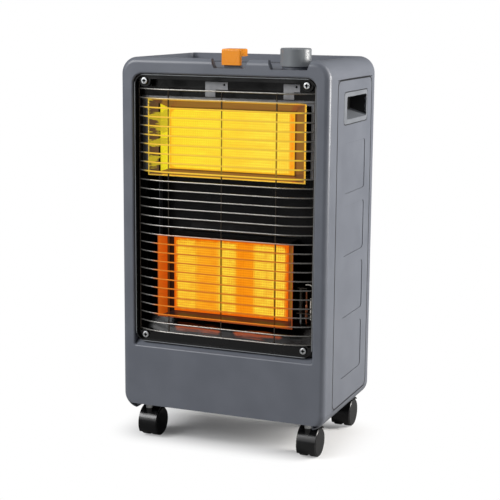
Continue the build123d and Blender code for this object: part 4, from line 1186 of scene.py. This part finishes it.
@dataclass
class ControlBosses:
    """Raised bosses of the tray floor that stand inside the knob and under the key."""

    shop: Workshop
    ring_d: float = 43.6 * MM
    ring_wall: float = 2.0 * MM
    lift: float = 5.0 * MM          # of the knob and the key above the tray floor
    clear: float = 0.3 * MM
    step_y: float = 8.0 * MM        # front to back of the step under the key
    key_face: float = 6.0 * MM      # thickness of the key's front plate
    key_side: float = 2.0 * MM
    sides: int = 48

    def build(self) -> None:
        """Model both bosses."""
        knob_low, knob_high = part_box("control_knob")
        floor, top = knob_low.z - self.lift, knob_low.z - self.clear
        middle = (knob_low + knob_high) / 2
        bpy.ops.mesh.primitive_cylinder_add(vertices=self.sides, radius=self.ring_d / 2, depth=top - floor,
                                            end_fill_type="NOTHING",
                                            location=(middle.x, middle.y, (floor + top) / 2))
        ring = bpy.context.object
        apply(ring, "SOLIDIFY", thickness=self.ring_wall, offset=-1.0)
        low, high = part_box("igniter_key")
        bpy.ops.mesh.primitive_cube_add(size=1.0)
        step = bpy.context.object
        step.scale = (high.x - low.x - 2 * self.key_side, self.step_y, top - floor)
        step.location = ((low.x + high.x) / 2, low.y + self.key_face + self.clear + self.step_y / 2,
                         (floor + top) / 2)
        settle(step)
        self.shop.hand_over(joined([ring, step]), "control_bosses", Slot.CASE, CABINET)


# ---- studio
@dataclass
class Studio:
    """Pale floor, soft lamps, white surroundings and the camera."""

    yaw: float = math.radians(21.93)
    pitch: float = math.radians(10.437)
    roll: float = math.radians(0.46)
    lens: float = 96.58
    sensor: float = 36.0
    ambient: float = 0.16
    shadow_half: tuple[float, float, float] = (0.150, 0.060, 0.0)
    shadow_fade: float = 0.09
    # least white laid over the shadow at the footprint's middle: painted light
    shadow_least: float = 0.07
    bounce: str = "#8c8c8c"         # what the floor gives back to the heater
    floor_size: float = 40.0
    place: tuple[float, float, float] = (0.8565, -2.1260, 0.7489)

    def camera(self) -> None:
        """Put the camera where the photograph was taken from."""
        turn = (Matrix.Rotation(self.yaw, 4, "Z") @ Matrix.Rotation(math.pi / 2 - self.pitch, 4, "X")
                @ Matrix.Rotation(self.roll, 4, "Z"))
        bpy.ops.object.camera_add()
        camera = bpy.context.object
        camera.data.lens, camera.data.sensor_width = self.lens, self.sensor
        camera.matrix_world = Matrix.Translation(self.place) @ turn
        bpy.context.scene.camera = camera

    def lamp(self, name: str, place: Sequence[float], aim: Sequence[float], size: Sequence[float],
             power: float, colour: str = "#ffffff") -> None:
        """Add one soft rectangular lamp.

        Args:
            name: The lamp's name.
            place: Where it stands.
            aim: Point that it faces.
            size: Width and height of its face.
            power: Watts.
            colour: Hex colour of its light.
        """
        bpy.ops.object.light_add(type="AREA", location=place)
        lamp = bpy.context.object
        lamp.name = name
        lamp.data.shape = "RECTANGLE"
        lamp.data.size, lamp.data.size_y = size
        lamp.data.energy = power
        lamp.data.color = linear(colour)[:3]
        lamp.rotation_mode = "QUATERNION"
        lamp.rotation_quaternion = (Vector(aim) - Vector(place)).to_track_quat("-Z", "Y")

    def lights(self) -> None:
        """High softboxes at the right and at the front left, with weak ones overhead and low."""
        self.lamp("right_near", (1.35, 0.45, 0.66), (0.18, 0, 0.42), (0.6, 0.6), 25, "#fffcf8")
        self.lamp("right_high", (2.0, 0.8, 2.0), (0, 0, 0.35), (1.6, 1.4), 26, "#fffcf8")
        self.lamp("left_high", (-1.7, -2.0, 2.0), (0, 0, 0.4), (1.6, 1.4), 66)
        self.lamp("front_low", (-1.0, -2.6, 1.2), (0, 0, 0.35), (1.6, 1.4), 9)
        self.lamp("overhead", (0.0, 0.1, 2.6), (0, 0, 0), (3.0, 2.4), 12)

    def surroundings(self) -> None:
        """Pale world light, white where the camera looks past the floor."""
        world = bpy.data.worlds.new("studio")
        bpy.context.scene.world = world
        tree = bare_tree(world)
        rays = add_node(tree, "LightPath")
        ambient = add_node(tree, "Background", {"Color": linear("#f2f4f8"), "Strength": self.ambient})
        white = add_node(tree, "Background", {"Color": linear("#ffffff"), "Strength": 1.0})
        mix = add_node(tree, "MixShader", {0: rays.outputs["Is Camera Ray"], 1: ambient, 2: white})
        add_node(tree, "OutputWorld", {"Surface": mix})

    def floor(self) -> None:
        """Plain pale floor that keeps the object's soft shadow, lightened by painted light, and goes to
        white further off.
        """
        bpy.ops.mesh.primitive_plane_add(size=self.floor_size)
        floor = bpy.context.object
        floor.name = "studio_floor"
        material = bpy.data.materials.new("paper_white")
        tree = bare_tree(material)
        place = add_node(tree, "TexCoord").outputs["Object"]
        # how far outside the middle of the heater's footprint a point lies
        half = Vector(self.shadow_half)
        fade = add_node(tree, "MapRange", {
            "Value": outside(tree, place, (-half, half), 2, 0.0), "From Max": self.shadow_fade,
            "To Min": self.shadow_least}, interpolation_type="SMOOTHSTEP")
        # painted light: the camera sees white laid over the floor, fully beyond the footprint and by
        # shadow_least even in the shadow
        rays = add_node(tree, "LightPath")
        seen = add_node(tree, "Math", {0: fade, 1: rays.outputs["Is Camera Ray"]}, operation="MULTIPLY")
        tone = add_node(tree, "Mix", {
            "Factor": rays.outputs["Is Camera Ray"], 6: linear(self.bounce), 7: linear("#f4f4f4")},
            data_type="RGBA")
        paper = add_node(tree, "BsdfDiffuse", {"Color": tone})
        white = add_node(tree, "Emission", {"Color": linear("#ffffff"), "Strength": 1.0})
        mix = add_node(tree, "MixShader", {0: seen, 1: paper, 2: white})
        add_node(tree, "OutputMaterial", {"Surface": mix})
        floor.data.materials.append(material)

    def build(self) -> None:
        """Set up the whole studio."""
        self.camera()
        self.lights()
        self.surroundings()
        self.floor()
        bpy.context.scene.view_settings.view_transform = "Standard"


ROUND_DEG = 38.0                # edges of turned and pressed pieces that stay sharp are steeper
TUBE_DEG = 60.0                 # and those between the flats of a tube or wire
TUBES = ("thermocouple", "ignition_lead", "upper_gas_pipe", "lower_gas_pipe", "pilot_gas_pipe",
         "inlet_pipe")
SKINS = (
    "case_shell", "side_panel_right", "side_panel_left", "rear_panel", "handle_cup_right",
    "handle_cup_left", "guard_frame", "igniter_key", "control_knob", "valve_stem", "stem_washer",
    "pilot_burner", "spark_electrode", "injectors", "gas_valve", "gas_inlet", "piezo_igniter",
    "upper_venturi", "lower_venturi", "castor_sockets", *TUBES,
    *(f"castor_{part}_{corner}" for corner in CASTORS for part in ("hood", "stem", "axle")),
    *(f"wheel_{corner}_{side}" for corner in CASTORS for side in ("left", "right")),
)


def main() -> None:
    """Build the studio and the heater's pieces in order."""
    logging.basicConfig(level=logging.INFO, format="%(message)s")
    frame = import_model()
    Studio().build()
    shop = Workshop(frame)
    for node, finish in (("lower_reflector", LOWER_TINT), ("reflector_tray", TRAY_ENAMEL),
                         ("lower_burner_box", DARK_SHEET)):
        shop.dress(frame["nodes"][node], finish.build())
    GuardGrille(shop, upright_finish=UPRIGHTS.build()).build()
    GuardScrews(shop, WASHER.build()).build()
    Plaque(shop, "upper_plaque", "upper_ceramic", 1, 56, 26).build()
    Plaque(shop, "lower_plaque", "lower_ceramic", 5, 10, 32, finish=LOWER_CERAMIC.build()).build()
    SmoothSkins(shop, SKINS, {"guard_frame": FRAME_ENAMEL.build()}).build()
    HandleCupShade(shop, CUP_SHADE.build()).build()
    ControlBosses(shop).build()


if __name__ == "__main__":
    main()
